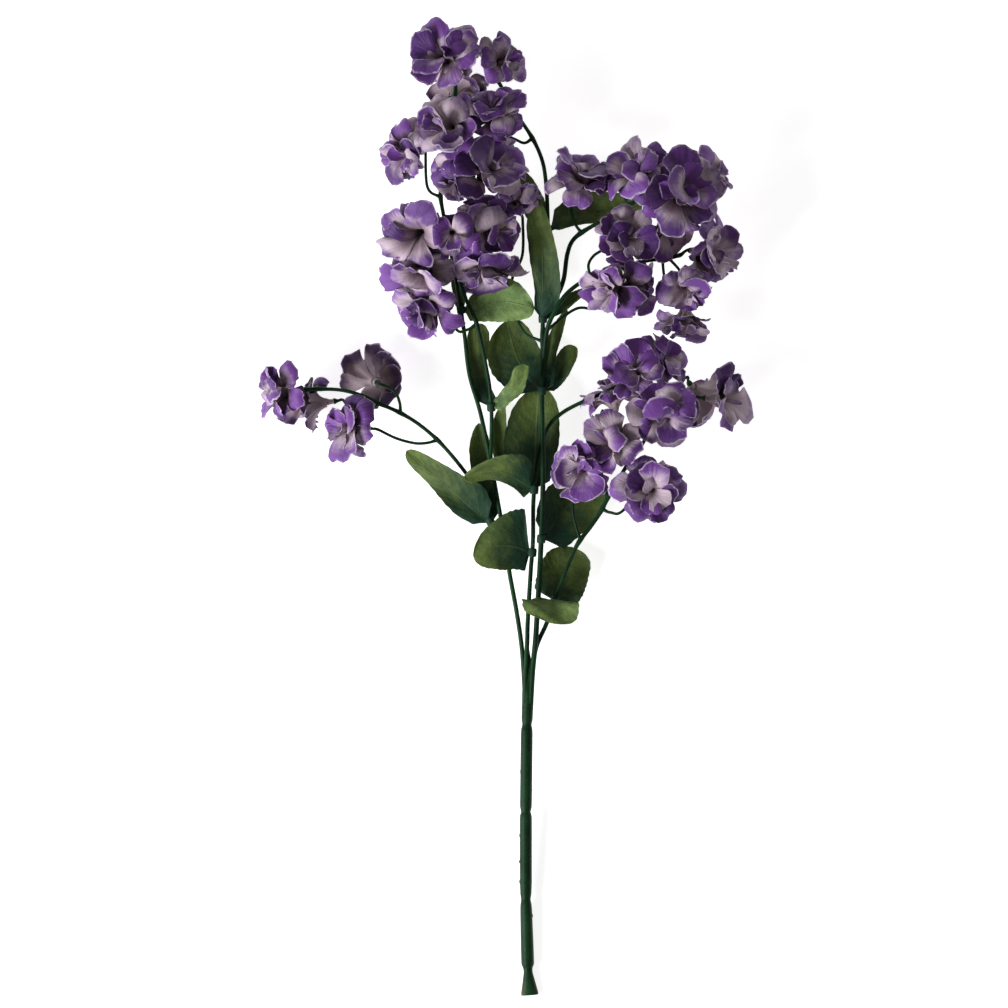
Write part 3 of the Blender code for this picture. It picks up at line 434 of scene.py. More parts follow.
def smooth_route(points, step):
    """Points about a step apart on the Catmull-Rom curve through the given ones."""
    points = np.array(points, float)
    padded = np.vstack((2 * points[0] - points[1], points, 2 * points[-1] - points[-2]))
    route = [points[:1]]
    for before, start, end, after in zip(padded, padded[1:], padded[2:], padded[3:]):
        t = np.linspace(0, 1, max(1, round(np.linalg.norm(end - start) / step)) + 1)[1:, None]
        route.append(0.5 * (2 * start + (end - before) * t
                            + (2 * before - 5 * start + 4 * end - after) * t ** 2
                            + (3 * start - before - 3 * end + after) * t ** 3))
    return np.vstack(route)


def link(name, data):
    """The data as an object of the scene."""
    made = bpy.data.objects.new(name, data)
    bpy.context.scene.collection.objects.link(made)
    return made


class Patchwork:
    """Gathers sheets and tubes of points into one mesh, with two sets of numbers for its material.

    pattern says where a point lies on its sheet, and tint says which sheet and side it is on.
    """

    def __init__(self):
        self.points, self.patterns, self.tints, self.faces = [], [], [], []
        self.count = 0

    def add(self, points, pattern, tint):
        """Keeps a grid of points and returns the grid of their numbers in the mesh."""
        rows, columns = points.shape[:2]
        self.points.append(points.reshape(-1, 3))
        self.patterns.append(np.broadcast_to(pattern, points.shape).reshape(-1, 3))
        self.tints.append(np.broadcast_to(tint, points.shape).reshape(-1, 3))
        numbers = self.count + np.arange(rows * columns).reshape(rows, columns)
        self.count += rows * columns
        return numbers

    def strip(self, low, high, closed):
        """Quads between two equal rows of point numbers."""
        if closed:
            low, high = np.append(low, low[0]), np.append(high, high[0])
        self.faces += np.stack((low[:-1], high[:-1], high[1:], low[1:]), axis=-1).tolist()

    def skin(self, numbers, closed, reverse=False):
        """Quads over a grid of point numbers, facing along rows x columns."""
        if closed:
            numbers = np.hstack((numbers, numbers[:, :1]))
        quads = np.stack((numbers[:-1, :-1], numbers[1:, :-1], numbers[1:, 1:], numbers[:-1, 1:]),
                         axis=-1).reshape(-1, 4)
        self.faces += (quads[:, ::-1] if reverse else quads).tolist()

    def cloth(self, middle, pattern, tint, thickness, closed=False):
        """A sheet: its middle moved half the thickness along its normal, which is the direction
        along the rows x the direction across them, and as far the other way, joined at the edges."""
        along = np.gradient(middle, axis=0)
        if closed:
            across = np.roll(middle, -1, axis=1) - np.roll(middle, 1, axis=1)
        else:
            across = np.gradient(middle, axis=1)
        lift = unit_rows(np.cross(along, across)) * thickness / 2
        tint = np.broadcast_to(tint, (*middle.shape[:2], 2))
        front = self.add(middle + lift, pattern, np.insert(tint, 2, 1.0, axis=-1))
        back = self.add(middle - lift, pattern, np.insert(tint, 2, 0.0, axis=-1))
        self.skin(front, closed)
        self.skin(back, closed, reverse=True)
        self.strip(front[-1], back[-1], closed)
        self.strip(back[0], front[0], closed)
        if not closed:
            self.strip(front[:, 0], back[:, 0], False)
            self.strip(back[:, -1], front[:, -1], False)

    def tube(self, path, radii, sides, tint, squeeze=None, pattern=(0, 0, 0)):
        """A rod: circles round the path, each point at path + radius (side cos a + up sin a)."""
        way = unit_rows(np.gradient(path, axis=0))
        guide = np.eye(3)[np.argmin(np.abs(way).max(axis=0))]
        side = unit_rows(np.cross(way, guide))
        up = np.cross(side, way)
        angle = np.linspace(0, 2 * np.pi, sides, endpoint=False)
        radii = np.broadcast_to(np.asarray(radii, float).reshape(len(path), -1), (len(path), sides))
        offset = radii[..., None] * (side[:, None] * np.cos(angle)[:, None]
                                     + up[:, None] * np.sin(angle)[:, None])
        if squeeze is not None:
            offset[..., 2] *= squeeze[:, None]
        numbers = self.add(path[:, None] + offset, pattern, tint)
        self.skin(numbers, True)
        self.faces.append(numbers[0].tolist())
        self.faces.append(numbers[-1, ::-1].tolist())

    def piece(self, name, node, material):
        """The finished object: it stands for the CAD node and moves with the only body."""
        mesh = bpy.data.meshes.new(name)
        mesh.from_pydata((np.concatenate(self.points) * MM).tolist(), [], self.faces)
        for key, values in (("pattern", self.patterns), ("tint", self.tints)):
            mesh.attributes.new(key, "FLOAT_VECTOR", "POINT").data.foreach_set(
                "vector", np.concatenate(values).astype(np.float32).ravel())
        mesh.polygons.foreach_set("use_smooth", np.ones(len(mesh.polygons), bool))
        mesh.set_sharp_from_angle(angle=math.radians(SHARP_ANGLE))
        mesh.materials.append(material)
        made = link(name, mesh)
        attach(made, "root")
        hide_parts(node)


class Wire:
    """A socket of a material that takes part in plain sums; each sign adds its Math node."""

    def __init__(self, paint, socket):
        self.paint, self.socket = paint, socket

    def _math(self, operation, first, second):
        return self.paint.node("ShaderNodeMath", {"operation": operation}, {0: first, 1: second})

    def __add__(self, other):
        return self._math("ADD", self, other)

    __radd__ = __add__

    def __mul__(self, other):
        return self._math("MULTIPLY", self, other)

    __rmul__ = __mul__

    def __sub__(self, other):
        return self._math("SUBTRACT", self, other)

    def __rsub__(self, other):
        return self._math("SUBTRACT", other, self)

    def __pow__(self, other):
        return self._math("POWER", self, other)

    def step(self, low, high):
        """0 at low, 1 at high, and smooth between; low may be the larger."""
        return self.paint.node("ShaderNodeMapRange", {"interpolation_type": "SMOOTHSTEP"},
                               {"Value": self, "From Min": low, "From Max": high})

    def size(self):
        return self.paint.node("ShaderNodeMath", {"operation": "ABSOLUTE"}, {0: self})

    def rest(self, period):
        """What is left over whole periods."""
        return self._math("FLOORED_MODULO", self, period)

    def swing(self, height):
        """A value round one half, such as noise, as one round nought, times the height."""
        return (self - 0.5) * height


class Paint:
    """The node tree of one material, on a Principled shader."""

    def __init__(self, name, **fixed):
        self.material = bpy.data.materials.new(name)
        self.material.use_nodes = True
        self.tree = self.material.node_tree
        self.shader = self.tree.nodes["Principled BSDF"]
        for socket, value in fixed.items():
            self.shader.inputs[socket.replace("_", " ")].default_value = value

    def node(self, kind, settings, values, output=0):
        """Adds a node, with its settings and then the values or links of its sockets."""
        made = self.tree.nodes.new(kind)
        for key, value in settings.items():
            setattr(made, key, value)
        for key, value in values.items():
            self.join(made.inputs[key], value)
        return Wire(self, made.outputs[output])

    def join(self, socket, value):
        """Links a wire to the socket or gives it a plain value, where a colour is opaque."""
        if isinstance(value, Wire):
            self.tree.links.new(value.socket, socket)
        elif socket.type == "RGBA":
            socket.default_value = (*value, 1)
        else:
            socket.default_value = value

    def parts(self, attribute):
        """The three numbers of an attribute."""
        vector = self.node("ShaderNodeAttribute", {"attribute_name": attribute}, {}, "Vector")
        first = self.node("ShaderNodeSeparateXYZ", {}, {0: vector})
        return [Wire(self, socket) for socket in first.socket.node.outputs]

    def vector(self, x, y, z):
        return self.node("ShaderNodeCombineXYZ", {}, {0: x, 1: y, 2: z})

    def noise(self, place, scale, detail, roughness):
        return self.node("ShaderNodeTexNoise", {},
                         {"Vector": place, "Scale": scale, "Detail": detail, "Roughness": roughness})

    def mix(self, share, first, second):
        """A colour between two."""
        return self.node("ShaderNodeMix", {"data_type": "RGBA"}, {0: share, 6: first, 7: second}, 2)

    def place(self):
        """Where a point lies in the part, in metres."""
        return self.node("ShaderNodeTexCoord", {}, {}, "Object")

    def finish(self, colour, roughness, height, strength, distance):
        """Gives the shader its colour, its roughness and bumps as high as the distance."""
        self.join(self.shader.inputs["Base Color"], colour)
        self.join(self.shader.inputs["Roughness"], roughness)
        bump = self.node("ShaderNodeBump", {},
                         {"Height": height, "Strength": strength, "Distance": distance})
        self.join(self.shader.inputs["Normal"], bump)
        return self.material


# The scale, detail and roughness of each noise
BLOTCHES = (1.1, 2.0, 0.5)
SPECKLES = (7.0, 3.0, 0.6)
STREAKS = (1.5, 2.0, 0.5)
WEAVE = (2600.0, 1.0, 0.5)
LEAF_CLOUDS = (1.4, 3.0, 0.55)
LEAF_FIBRES = (3.0, 3.0, 0.5)
WRINKLES = (170.0, 3.0, 0.6)
PLASTIC_CLOUDS = (60.0, 3.0, 0.5)
PLASTIC_GRAIN = (900.0, 2.0, 0.5)
FLOOR_CLOUDS = (3.0, 2.0, 0.5)
# The strength of each material's bumps and their height in metres
PETAL_BUMPS = (0.6, 0.0009)
LEAF_BUMPS = (0.6, 0.0011)
PLASTIC_BUMPS = (0.25, 0.0005)


def petal_cloth(look):
    """Watercolour petals: a purple blotch over pale cloth, mauve grey backs, pale cut rims partly
    painted as highlights, and painted shade in the throat.
    """
    paint = Paint("petal_cloth", Sheen_Weight=0.12, Sheen_Roughness=0.5)
    place, share, rim = paint.parts("pattern")
    chance, layer, side = paint.parts("tint")
    # chance moves each petal to a piece of the noise of its own, and gives two more chances
    cell = paint.vector(place * 1.2 + chance * 37, share * 2.2 + chance * 11, layer * 9)
    lengthwise = paint.vector(place * 8 + chance * 51, share * 1.1, chance * 23)
    blotch = paint.noise(cell, *BLOTCHES)
    fine = paint.noise(cell, *SPECKLES)
    streak = paint.noise(lengthwise, *STREAKS)
    second = (chance * 7.31).rest(1.0)
    third = (chance * 23.7).rest(1.0)

    # the blotch covers the outer part of a petal, more or less of it from petal to petal
    edge = place.size().step(0.5, 1.0)
    purple = (share + blotch.swing(0.9) + fine.swing(0.16) + streak.swing(0.25)
              - edge * 0.3 * second - chance.swing(0.7))
    lighter = (streak * 0.45 + fine * 0.45 + share * 0.1 + third * 0.5).step(0.42, 0.98)
    top = paint.mix(lighter, look.purple, look.lavender)
    top = paint.mix(purple.step(0.36, 0.84), look.pale, top)

    # painted shade: a near-black throat and a mauve ring round it, the ring partly the cloth's own
    # colour, fading out over the inner layers
    outer = (1 - layer).step(0.2, 0.9)
    throat = (share + streak.swing(0.35)).step(0.34, 0.14) * outer
    ring = (share + streak.swing(0.3)).step(0.72, 0.36) * outer * 0.85
    top = paint.mix(throat, paint.mix(ring, top, look.ring), look.throat)

    # the backs of some petals are paler, and the blotch comes through near the rim
    bare = (second.step(0.45, 0.75) * 0.7 + streak.swing(0.3)) * share.step(0.05, 0.5)
    through = (share + blotch.swing(0.7)).step(0.62, 0.95) * 0.85
    under = paint.mix(through, paint.mix(bare, look.back, look.pale), look.purple)

    # the pale cut rims, broken up by noise: partly the cloth's own pale cut edge and partly a
    # painted highlight along the rims
    frayed_rim_and_highlight = (blotch * 0.6 + fine * 0.4).step(0.44, 0.58)
    colour = paint.mix(rim.step(0.95, 0.99) * frayed_rim_and_highlight * 0.85, paint.mix(side, under, top), look.rim)
    weave = paint.noise(paint.place(), *WEAVE)
    height = streak * 0.8 + fine * 0.35 + blotch * 0.8 + weave * 0.08
    return paint.finish(colour, 0.5 + fine * 0.2, height, *PETAL_BUMPS)


def leaf_cloth(look):
    """Printed leaf cloth: dark bluish at the root, olive at the tip, pale side veins; lighter leaves
    partly painted light, wrinkles' hollows painted shade.
    """
    paint = Paint("leaf_cloth", Specular_IOR_Level=0.2)
    place, share, _ = paint.parts("pattern")
    light, yellow, side = paint.parts("tint")
    # each leaf's lightness and yellowness move it to a piece of the noise of its own
    cell = paint.vector(place * 1.5 + yellow * 13, share * 4 + light * 29, light * 7)
    cloud = paint.noise(cell, *LEAF_CLOUDS)
    fibre = paint.noise(paint.vector(place * 9, share * 3, light * 31), *LEAF_FIBRES)
    wrinkle = paint.noise(paint.place(), *WRINKLES)

    # the side veins run as the quilting of leaf_sheet does, and fade towards the edge
    bow = share * VEINS - (place.size() ** VEIN_POWER) * VEIN_SLANT
    vein = (bow.rest(1.0) - 0.5).size().step(0.42, 0.5) * place.size().step(1.0, 0.7)
    lines = vein * 0.2 + place.size().step(0.05, 0.015) * 0.5

    olive = (share + cloud.swing(0.8) + yellow * 0.35 - 0.1).step(0.15, 0.95)
    # lighter leaves and patches: partly the cloth's own tone and partly painted light, after how
    # brightly each leaf is lit
    bright = (light - 0.35 + cloud.swing(0.5)).step(0.1, 0.85)
    green = paint.mix(bright, paint.mix(olive, look.root, look.tip), look.bright)
    green = paint.mix(lines * 0.35, green, look.vein)
    green = paint.mix((1 - side) * 0.45, green, look.under)
    # painted shade: the hollows of the wrinkle bumps are darkened towards the root's colour
    green = paint.mix(wrinkle.step(0.6, 0.35) * 0.35, green, look.root)
    height = lines * 0.7 + fibre * 0.3 + cloud * 0.3 + wrinkle
    return paint.finish(green, 0.5 + fibre * 0.2, height, *LEAF_BUMPS)


def stem_plastic(look):
    """Moulded green plastic: slightly glossy, cloudy, brown where the stem was cut."""
    paint = Paint("stem_plastic", Specular_IOR_Level=0.14)
    worn, _, _ = paint.parts("tint")
    spot = paint.place()
    cloud = paint.noise(spot, *PLASTIC_CLOUDS)
    grain = paint.noise(spot, *PLASTIC_GRAIN)
    green = paint.mix((cloud + grain.swing(0.4)).step(0.3, 0.75), look.dark, look.light)
    green = paint.mix(worn * (cloud + 0.4).step(0.5, 0.9), green, look.cut)
    return paint.finish(green, 0.42 + grain * 0.14, cloud * 0.4 + grain * 0.3, *PLASTIC_BUMPS)


def stem_piece(look):
    """The jointed stem: a rod whose radius follows its profile, with mould seams, height
    exp(-(sin a / width)^2), lobes at its top, depth cos(4 a + pi), and round nubs."""
    y = np.arange(STEM_PROFILE[0][0], STEM_PROFILE[-1][0] + RING_STEP / 2, RING_STEP)
    path = np.stack((np.interp(y, *zip(*STEM_BOW)), y, stem_z(y)), axis=1)
    angle = np.linspace(0, 2 * np.pi, look.stem_sides, endpoint=False)
    radius = np.interp(y, *zip(*STEM_PROFILE))[:, None] + STEM_SKIN
    seam = SEAM_HEIGHT * np.exp(-(np.sin(angle) / SEAM_WIDTH) ** 2)
    lobes = smooth_step(y, *LOBE_RANGE)[:, None] * LOBE_DEPTH * np.cos(LOBES * angle + np.pi)
    radius = radius * (1 + lobes) + seam * np.minimum(1, radius / SEAM_FULL)
    for place, turn, height in NUBS:
        away = (np.angle(np.exp(1j * (angle - math.radians(turn)))) * MEAN_RADIUS)[None, :]
        radius = radius + height * np.exp(-((y[:, None] - place) ** 2 + away ** 2) / NUB_WIDTH ** 2)
    squeeze = np.interp(y, (STEM_PROFILE[0][0], CUT_END), (PINCH, 1))
    worn = smooth_step(-y, -CUT_END, -STEM_PROFILE[0][0])[:, None]
    worn = worn * np.abs(np.cos(angle)) ** WEAR_POWER
    tint = np.stack(np.broadcast_arrays(worn, 0, 0), axis=-1)
    work = Patchwork()
    work.tube(path, radius, look.stem_sides, tint, squeeze)
    keep_above_table(work)
    work.piece("moulded_stem", "jointed_stem", stem_plastic(look))


def bloom_frame(name):
    """(neck point, unit axis) of a bloom: the neck lies behind the middle of its body."""
    _, middle, facing, size, _ = BLOOMS[name]
    axis = unit(*facing)
    return np.array(middle) - axis * BLOOM_REACH * size, axis


def branch_piece(name, look, plastic):
    """The stalks of one branch and the twigs of its blooms, with swollen forks and calyxes."""
    work = Patchwork()
    twigs = {bloom: entry for bloom, entry in BLOOMS.items() if entry[0] == name}
    forks = np.array([entry[4][0] for entry in twigs.values()]
                     + [points[0] for points in STALKS[name][1:]])
    for number, points in enumerate(STALKS[name]):
        route = smooth_route(points, look.ring_step / MM)
        thick = STALK_RADIUS * (FORK_THINNING if number else 1)
        if name == "middle_branch":
            thick *= STOUT
        radii = np.linspace(thick, TIP_RADIUS, len(route))
        away = np.linalg.norm(route[:, None] - forks[None], axis=2)
        radii += FORK_SWELLING * np.exp(-(away / FORK_REACH) ** 2).max(axis=1)
        work.tube(route, radii, look.stalk_sides, (0, 0, 0))
    for bloom, (_, _, _, _, start) in twigs.items():
        neck, axis = bloom_frame(bloom)
        lead = min(TWIG_LEAD, LEAD_SHARE * np.linalg.norm(neck - np.array(start[-1])))
        bends = [*start, neck - axis * max(lead, CALYX_LENGTH)]
        if lead > CALYX_LENGTH + LEAD_SPARE:
            bends.append(neck - axis * CALYX_LENGTH)
        route = smooth_route([*bends, neck], look.ring_step / MM / 2)
        to_neck = np.linalg.norm(route - neck, axis=1)
        to_root = np.linalg.norm(route - route[0], axis=1)
        thicker = smooth_step(to_neck, CALYX_LENGTH, CALYX_END)
        radii = TWIG_RADIUS + (CALYX_RADIUS - TWIG_RADIUS) * thicker
        radii += FORK_SWELLING * np.exp(-(to_root / TWIG_REACH) ** 2)
        work.tube(route, radii, look.stalk_sides, (0, 0, 0))
    keep_above_table(work)
    work.piece("moulded_" + name, name, plastic)


class Bloom:
    """The layered cups of one bloom, as surfaces round its axis."""

    def __init__(self, name):
        self.neck, self.axis = bloom_frame(name)
        self.size = BLOOMS[name][3]
        self.draw = random.Random(name)
        self.chance = random.Random(name + " cloth")
        side = np.cross(self.axis, (0.0, 0.0, 1.0))
        if np.linalg.norm(side) < UPRIGHT:
            side = np.cross(self.axis, (1.0, 0.0, 0.0))
        self.side = side / np.linalg.norm(side)
        self.up = np.cross(self.axis, self.side)
        self.turn = self.draw.uniform(0, FIRST_TURN)
        self.walls = list(neighbour_walls(name))
        short = name.removeprefix("bloom_")
        self.tongue = TONGUES.get(short)
        self.layers, self.joined = LOOSE_BLOOMS.get(short, (range(len(LAYERS)), 0))

    def place(self, out, along, angle, slope=(0, 0)):
        """The points at those distances from the axis, heights and angles in radians; the axis
        leans by the slope to the side and up."""
        axis = unit_rows(self.axis + self.side * slope[0] + self.up * slope[1])
        side = unit_rows(self.side - axis * (self.side @ axis))
        level = side * np.cos(angle)[..., None] + np.cross(axis, side) * np.sin(angle)[..., None]
        return self.neck + (level * out[..., None] + axis * along[..., None]) * self.size

    def press(self, points, share):
        """Moves points back inside the room that the neighbours leave the bloom: a depth beyond
        the wall shrinks to margin (1 - exp(-depth / margin)), the more so further out."""
        for centre, way, distance in self.walls:
            depth = (points - centre) @ way - distance + PRESS_MARGIN
            kept = PRESS_MARGIN * (1 - np.exp(-np.maximum(depth, 0) / PRESS_MARGIN))
            back = np.maximum(depth, 0) - kept
            points = points - way * (back * np.minimum(1, share * PRESS_RISE))[..., None]
        return points

    def put_out_tongue(self, own, turned):
        """Lengthens the petal that comes nearest to the tongue's direction, and bends it there."""
        way, longer = self.tongue
        petals = len(own["reach"])
        bend = np.linspace(-TONGUE_BEND, TONGUE_BEND, TONGUE_BENDS)
        angle = turned + np.arange(petals)[:, None] * 2 * math.pi / petals + bend
        ways = self.place(np.ones(angle.shape), np.zeros(angle.shape), angle) - self.neck
        fits = ways @ unit(way, 0)
        chosen = np.argmax(fits[:, TONGUE_BENDS // 2])
        own["reach"][chosen] += longer
        own["mood"][chosen] = TONGUE_MOOD
        own["sway"][chosen] = bend[np.argmax(fits[chosen])]

    def layer(self, number, look, work):
        """A layer of joined petals. Across a petal the place u runs from -1 to 1 and along it the
        share s from 0 to the outline gap + (reach - gap) (1 - |u|^power)^0.5. A column's direction
        turns off the axis from first to last angle, and rolls further near the rim; its points are
        the sums of the steps along it, and cup, crease and waves move them along the normal."""
        petals, length, first, last, spring, gap = LAYERS[number]
        gap += self.joined
        turned = math.radians(self.turn) + (number - 1) * math.pi / petals
        draw = self.draw if number == 1 else self.chance
        wilt = np.array([draw.uniform(*WILT) for _ in range(petals)])
        curl = np.array([draw.uniform(-CURL, CURL) for _ in range(petals)])
        uniform = self.chance.uniform
        slope = [uniform(-TILT, TILT) for _ in range(2)]
        own = {key: np.array([uniform(*span) for _ in range(petals)])
               for key, span in {"mood": MOODS[number], **PETAL_RANGES}.items()}
        if number == 1 and self.tongue:
            self.put_out_tongue(own, turned)

        across = look.petal_columns
        column = np.arange(petals * across)
        petal = column // across
        own = {key: values[petal] for key, values in own.items()}
        waves, phase = own["waves"], own["phase"]
        even = 2 * (column % across) / across - 1
        u = CROWDING[0] * even + CROWDING[1] * np.sin(even * np.pi / 2)
        inner = 1 - u ** EDGE_POWER
        rim = gap + (own["reach"] - gap) * (1 - np.abs(u) ** own["power"]) ** 0.5
        uneven = sum(height * np.sin(waves * count * u + phase * times)
                     for height, count, times in RIM_WAVES)
        v = np.linspace(0, 1, look.petal_rows)[:, None] ** ROW_POWER
        s = v * (rim * (1 + uneven * inner))
        free = smooth_step(s, FREE_FROM, 1.0) * inner

        bent = last - first + (wilt[petal] + own["droop"]) * inner
        angle = first + LEAN * own["mood"] + bent * s
        angle = np.radians(angle + ROLL * own["mood"] * smooth_step(s, *ROLL_RANGE) * inner)
        step = np.diff(s, axis=0) * length
        middle = (angle[1:] + angle[:-1]) / 2
        start = np.zeros((1, len(column)))
        out = np.vstack((start, np.cumsum(np.sin(middle) * step, axis=0)))
        along = np.vstack((start, np.cumsum(np.cos(middle) * step, axis=0)))

        crease = np.exp(-((u - own["crease"]) / CREASE_WIDTH) ** 2)
        lift = curl[petal] * np.sin(np.pi * u) * CURL_GAIN * s + (TWIST + own["twist"]) * u * free
        lift = lift - CUP * own["mood"] * free * (np.abs(u) ** CUP_POWER - CUP_LEVEL)
        lift = lift - free * crease * CREASE_DEPTH
        lift = lift + free * SWELL[0] * np.sin(waves * u + SWELL[1] * s + phase)
        for height, (begin, count, times) in ((own["ruffle"], RUFFLE), (CRUMPLE_HEIGHT, CRUMPLE)):
            ripple = np.sin(waves * count * u + phase * times)
            lift = lift + height * free * smooth_step(v, begin, 1) * ripple
        out = np.maximum(out - np.cos(angle) * lift, -FLARE_RADIUS * INWARDS)
        along = along + np.sin(angle) * lift

        widen = 1 + SPREAD * free * (1 - u ** ENDS_POWER)
        turn = turned + (petal + u / 2 * widen) * 2 * math.pi / petals + own["sway"] * free
        points = self.press(self.place(FLARE_RADIUS + out, spring + along, turn, slope), s)
        pattern = np.stack(np.broadcast_arrays(u, s, v), axis=-1)
        depth = np.full(len(column), number / (len(LAYERS) - 1))
        tint = np.stack((own["tint"], depth), axis=-1)
        work.cloth(points, pattern, tint, look.thickness / MM, closed=True)

    def throat(self, look, work):
        """The closed funnel between the calyx and the petals: a profile turned round the axis."""
        height, radius, inside = np.array(FUNNEL).T
        angle = self.turn + np.linspace(0, 2 * np.pi, look.petal_columns * 2, endpoint=False)
        out, along, inside, angle = np.broadcast_arrays(
            radius[:, None], height[:, None], inside[:, None], angle)
        tint = np.stack(np.broadcast_arrays(FUNNEL_CHANCE, 0, inside), axis=-1)
        numbers = work.add(self.place(out, along, angle), FUNNEL_PATTERN, tint)
        work.skin(numbers, True, reverse=True)
        work.faces.append(numbers[0, ::-1].tolist())
        work.faces.append(numbers[-1].tolist())


def neighbour_walls(name):
    """(centre, direction, distance) of the planes that share the room between near blooms."""
    middle, size = np.array(BLOOMS[name][1], float), BLOOMS[name][3]
    for other, (_, place, _, other_size, _) in BLOOMS.items():
        away = np.array(place, float) - middle
        distance = np.linalg.norm(away)
        if other != name and distance < BLOOM_ROOM * (size + other_size):
            share = size / (size + other_size)
            yield middle, away / distance, distance * share + CLOTH_OVERLAP / 2


def bloom_piece(name, look, cloth):
    """The petals and the funnel of one bloom."""
    work = Patchwork()
    bloom = Bloom(name)
    for number in bloom.layers:
        bloom.layer(number, look, work)
    bloom.throat(look, work)
    keep_above_table(work)
    work.piece(name.replace("bloom", "petals"), name, cloth)


def keep_above_table(work):
    """Moves points that would lie under the table's top to just above it."""
    for points in work.points:
        np.maximum(points[:, 2], CLOTH_REST, out=points[:, 2])


def leaf_sheet(work, leaf, root, chance, look):
    """A leaf: the midrib runs from root to tip along an arch, height x sin(pi s), and a sideways
    bow, and the blade stands to both sides of it by the breadths of its outline. The edges rise
    by fold x |u|, ripple, and the cloth is quilted between its side veins."""
    tip, roll, arch, light, yellow, crumple, bow, right, left = leaf
    along = np.array(tip, float) - root
    level = unit_rows(np.cross(along, (0.0, 0.0, 1.0)))
    above = np.cross(level, unit_rows(along))
    roll = math.radians(roll)
    across = level * math.cos(roll) + above * math.sin(roll)
    faces_up = above * math.cos(roll) - level * math.sin(roll)
    s = np.linspace(0, 1, look.leaf_rows)
    closing = (1 - np.maximum(0, (s - TIP_START) / (1 - TIP_START)) ** TIP_POWER) ** 0.5
    opening = np.minimum(1, ROOT_BREADTH + s / ROOT_END) ** ROOT_POWER
    closing = np.maximum(closing, LEAST_BREADTH) * opening
    sides = [evened(np.interp(s, np.linspace(0, 1, len(side)), side)) for side in (right, left)]
    u = np.linspace(1, -1, look.leaf_columns)[None, :]
    s = s[:, None]
    breadth = np.where(u > 0, sides[0][:, None], sides[1][:, None]) * closing[:, None]
    height, waves, power = RAGGED
    ragged = 1 + height * np.sin(s * waves + chance.uniform(0, 6)) * np.abs(u) ** power
    # the fourth phase isn't read, but the draws of the whorl's next leaf follow it
    phase = [chance.uniform(0, 2 * math.pi) for _ in range(4)]
    lift = LEAF_FOLD * (np.sqrt(u * u + FOLD_SOFTNESS) - FOLD_LEVEL)
    height, power, waves = SWING
    lift = lift + height * crumple * np.abs(u) ** power * np.sin(waves * s + phase[0]) * np.sign(u)
    height, power, waves = RIPPLE
    lift = lift + height * crumple * np.abs(u) ** power * np.sin(waves * s + phase[1])
    height, over, down = BULGE
    lift = lift + height * crumple * np.sin(over * u + down * s + phase[2])
    share = closing[:, None]
    vein = VEINS * s - VEIN_SLANT * np.abs(u) ** VEIN_POWER
    lift = share * lift + QUILTING * share * np.cos(2 * np.pi * vein) * np.abs(u)
    shift = bow * np.sin(np.pi * s) + u * ragged * breadth
    points = (root + along * s[..., None] + above * (arch * np.sin(np.pi * s))[..., None]
              + across * shift[..., None] + faces_up * lift[..., None])
    points[..., 2] = np.maximum(points[..., 2], LEAF_REST)
    pattern = np.stack(np.broadcast_arrays(u, s, 0), axis=-1)
    work.cloth(points, pattern, (light, yellow), look.thickness / MM)


def evened(values):
    """A row of values with its corners rounded off by a running mean of its neighbours."""
    padded = np.pad(values, SMOOTHING, mode="edge")
    kernel = np.hanning(2 * SMOOTHING + 3)[1:-1]
    return np.convolve(padded, kernel / kernel.sum(), mode="valid")


def sleeve_place(name):
    """(middle, direction) of a whorl's sleeve, at the place of its stalks nearest to its point."""
    carrier, near, _ = WHORLS[name]
    best = None
    for points in STALKS[carrier]:
        route = smooth_route(points, SLEEVE_STEP)
        away = np.linalg.norm(route - np.array(near, float), axis=1)
        at = int(np.clip(np.argmin(away), 1, len(route) - 2))
        if best is None or away[at] < best[0]:
            best = (away[at], route[at], unit_rows(route[at + 1] - route[at - 1]))
    return best[1:]


def whorl_piece(name, look, cloth):
    """The leaves of one whorl and the prongs and sleeve that hold them."""
    work = Patchwork()
    middle, way = sleeve_place(name)
    chance = random.Random(name)
    for leaf in WHORLS[name][2]:
        tip = np.array(leaf[0], float)
        out = tip - middle
        out -= way * (out @ way)
        out = unit_rows(out)
        root = middle + out * SLEEVE_INNER
        leaf_sheet(work, leaf, root, chance, look)
        reach = np.linspace(0, PRONG_LENGTH, PRONG_RINGS)[:, None]
        prong = root + unit_rows(tip - root) * reach
        work.tube(prong, np.linspace(*PRONG_RADII, PRONG_RINGS), PRONG_SIDES, SLEEVE_TINT,
                  pattern=PRONG_PATTERN)
    ring = np.linspace(-1, 1, SLEEVE_RINGS)
    swell = SLEEVE_OUTER - SLEEVE_ROUNDING * np.abs(ring) ** ENDS_POWER
    work.tube(middle + way * (ring / 2 * SLEEVE_LENGTH)[:, None], swell, look.leaf_columns,
              SLEEVE_TINT, pattern=SLEEVE_PATTERN)
    work.piece(name.replace("leaves", "blades"), name, cloth)


def screen(red, green, blue):
    """A colour given by its screen values, 0 to 255, as the linear one that sockets take: v / 12.92
    where v is dark, and otherwise ((v + 0.055) / 1.055)^2.4."""
    return tuple((value / 255 / 12.92) if value <= 10 else ((value / 255 + 0.055) / 1.055) ** 2.4
                 for value in (red, green, blue))


def colour_value(name, description, *values):
    """A colour that the panel shows, given by its screen values."""
    return bpy.props.FloatVectorProperty(
        name=name, description=description, subtype="COLOR", size=3, min=0, max=1,
        default=screen(*values))


def count_value(name, description, default, least):
    """A whole number that the panel shows."""
    return bpy.props.IntProperty(
        name=name, description=description, default=default, min=least, subtype="UNSIGNED")


def amount_value(name, description, default, unit, least=0):
    """A number with a unit that the panel shows."""
    return bpy.props.FloatProperty(
        name=name, description=description, default=default, min=least, unit=unit)


def share_value(name, description, default):
    """A share from 0 to 1 that the panel shows."""
    return bpy.props.FloatProperty(
        name=name, description=description, default=default, min=0, max=1, subtype="FACTOR")


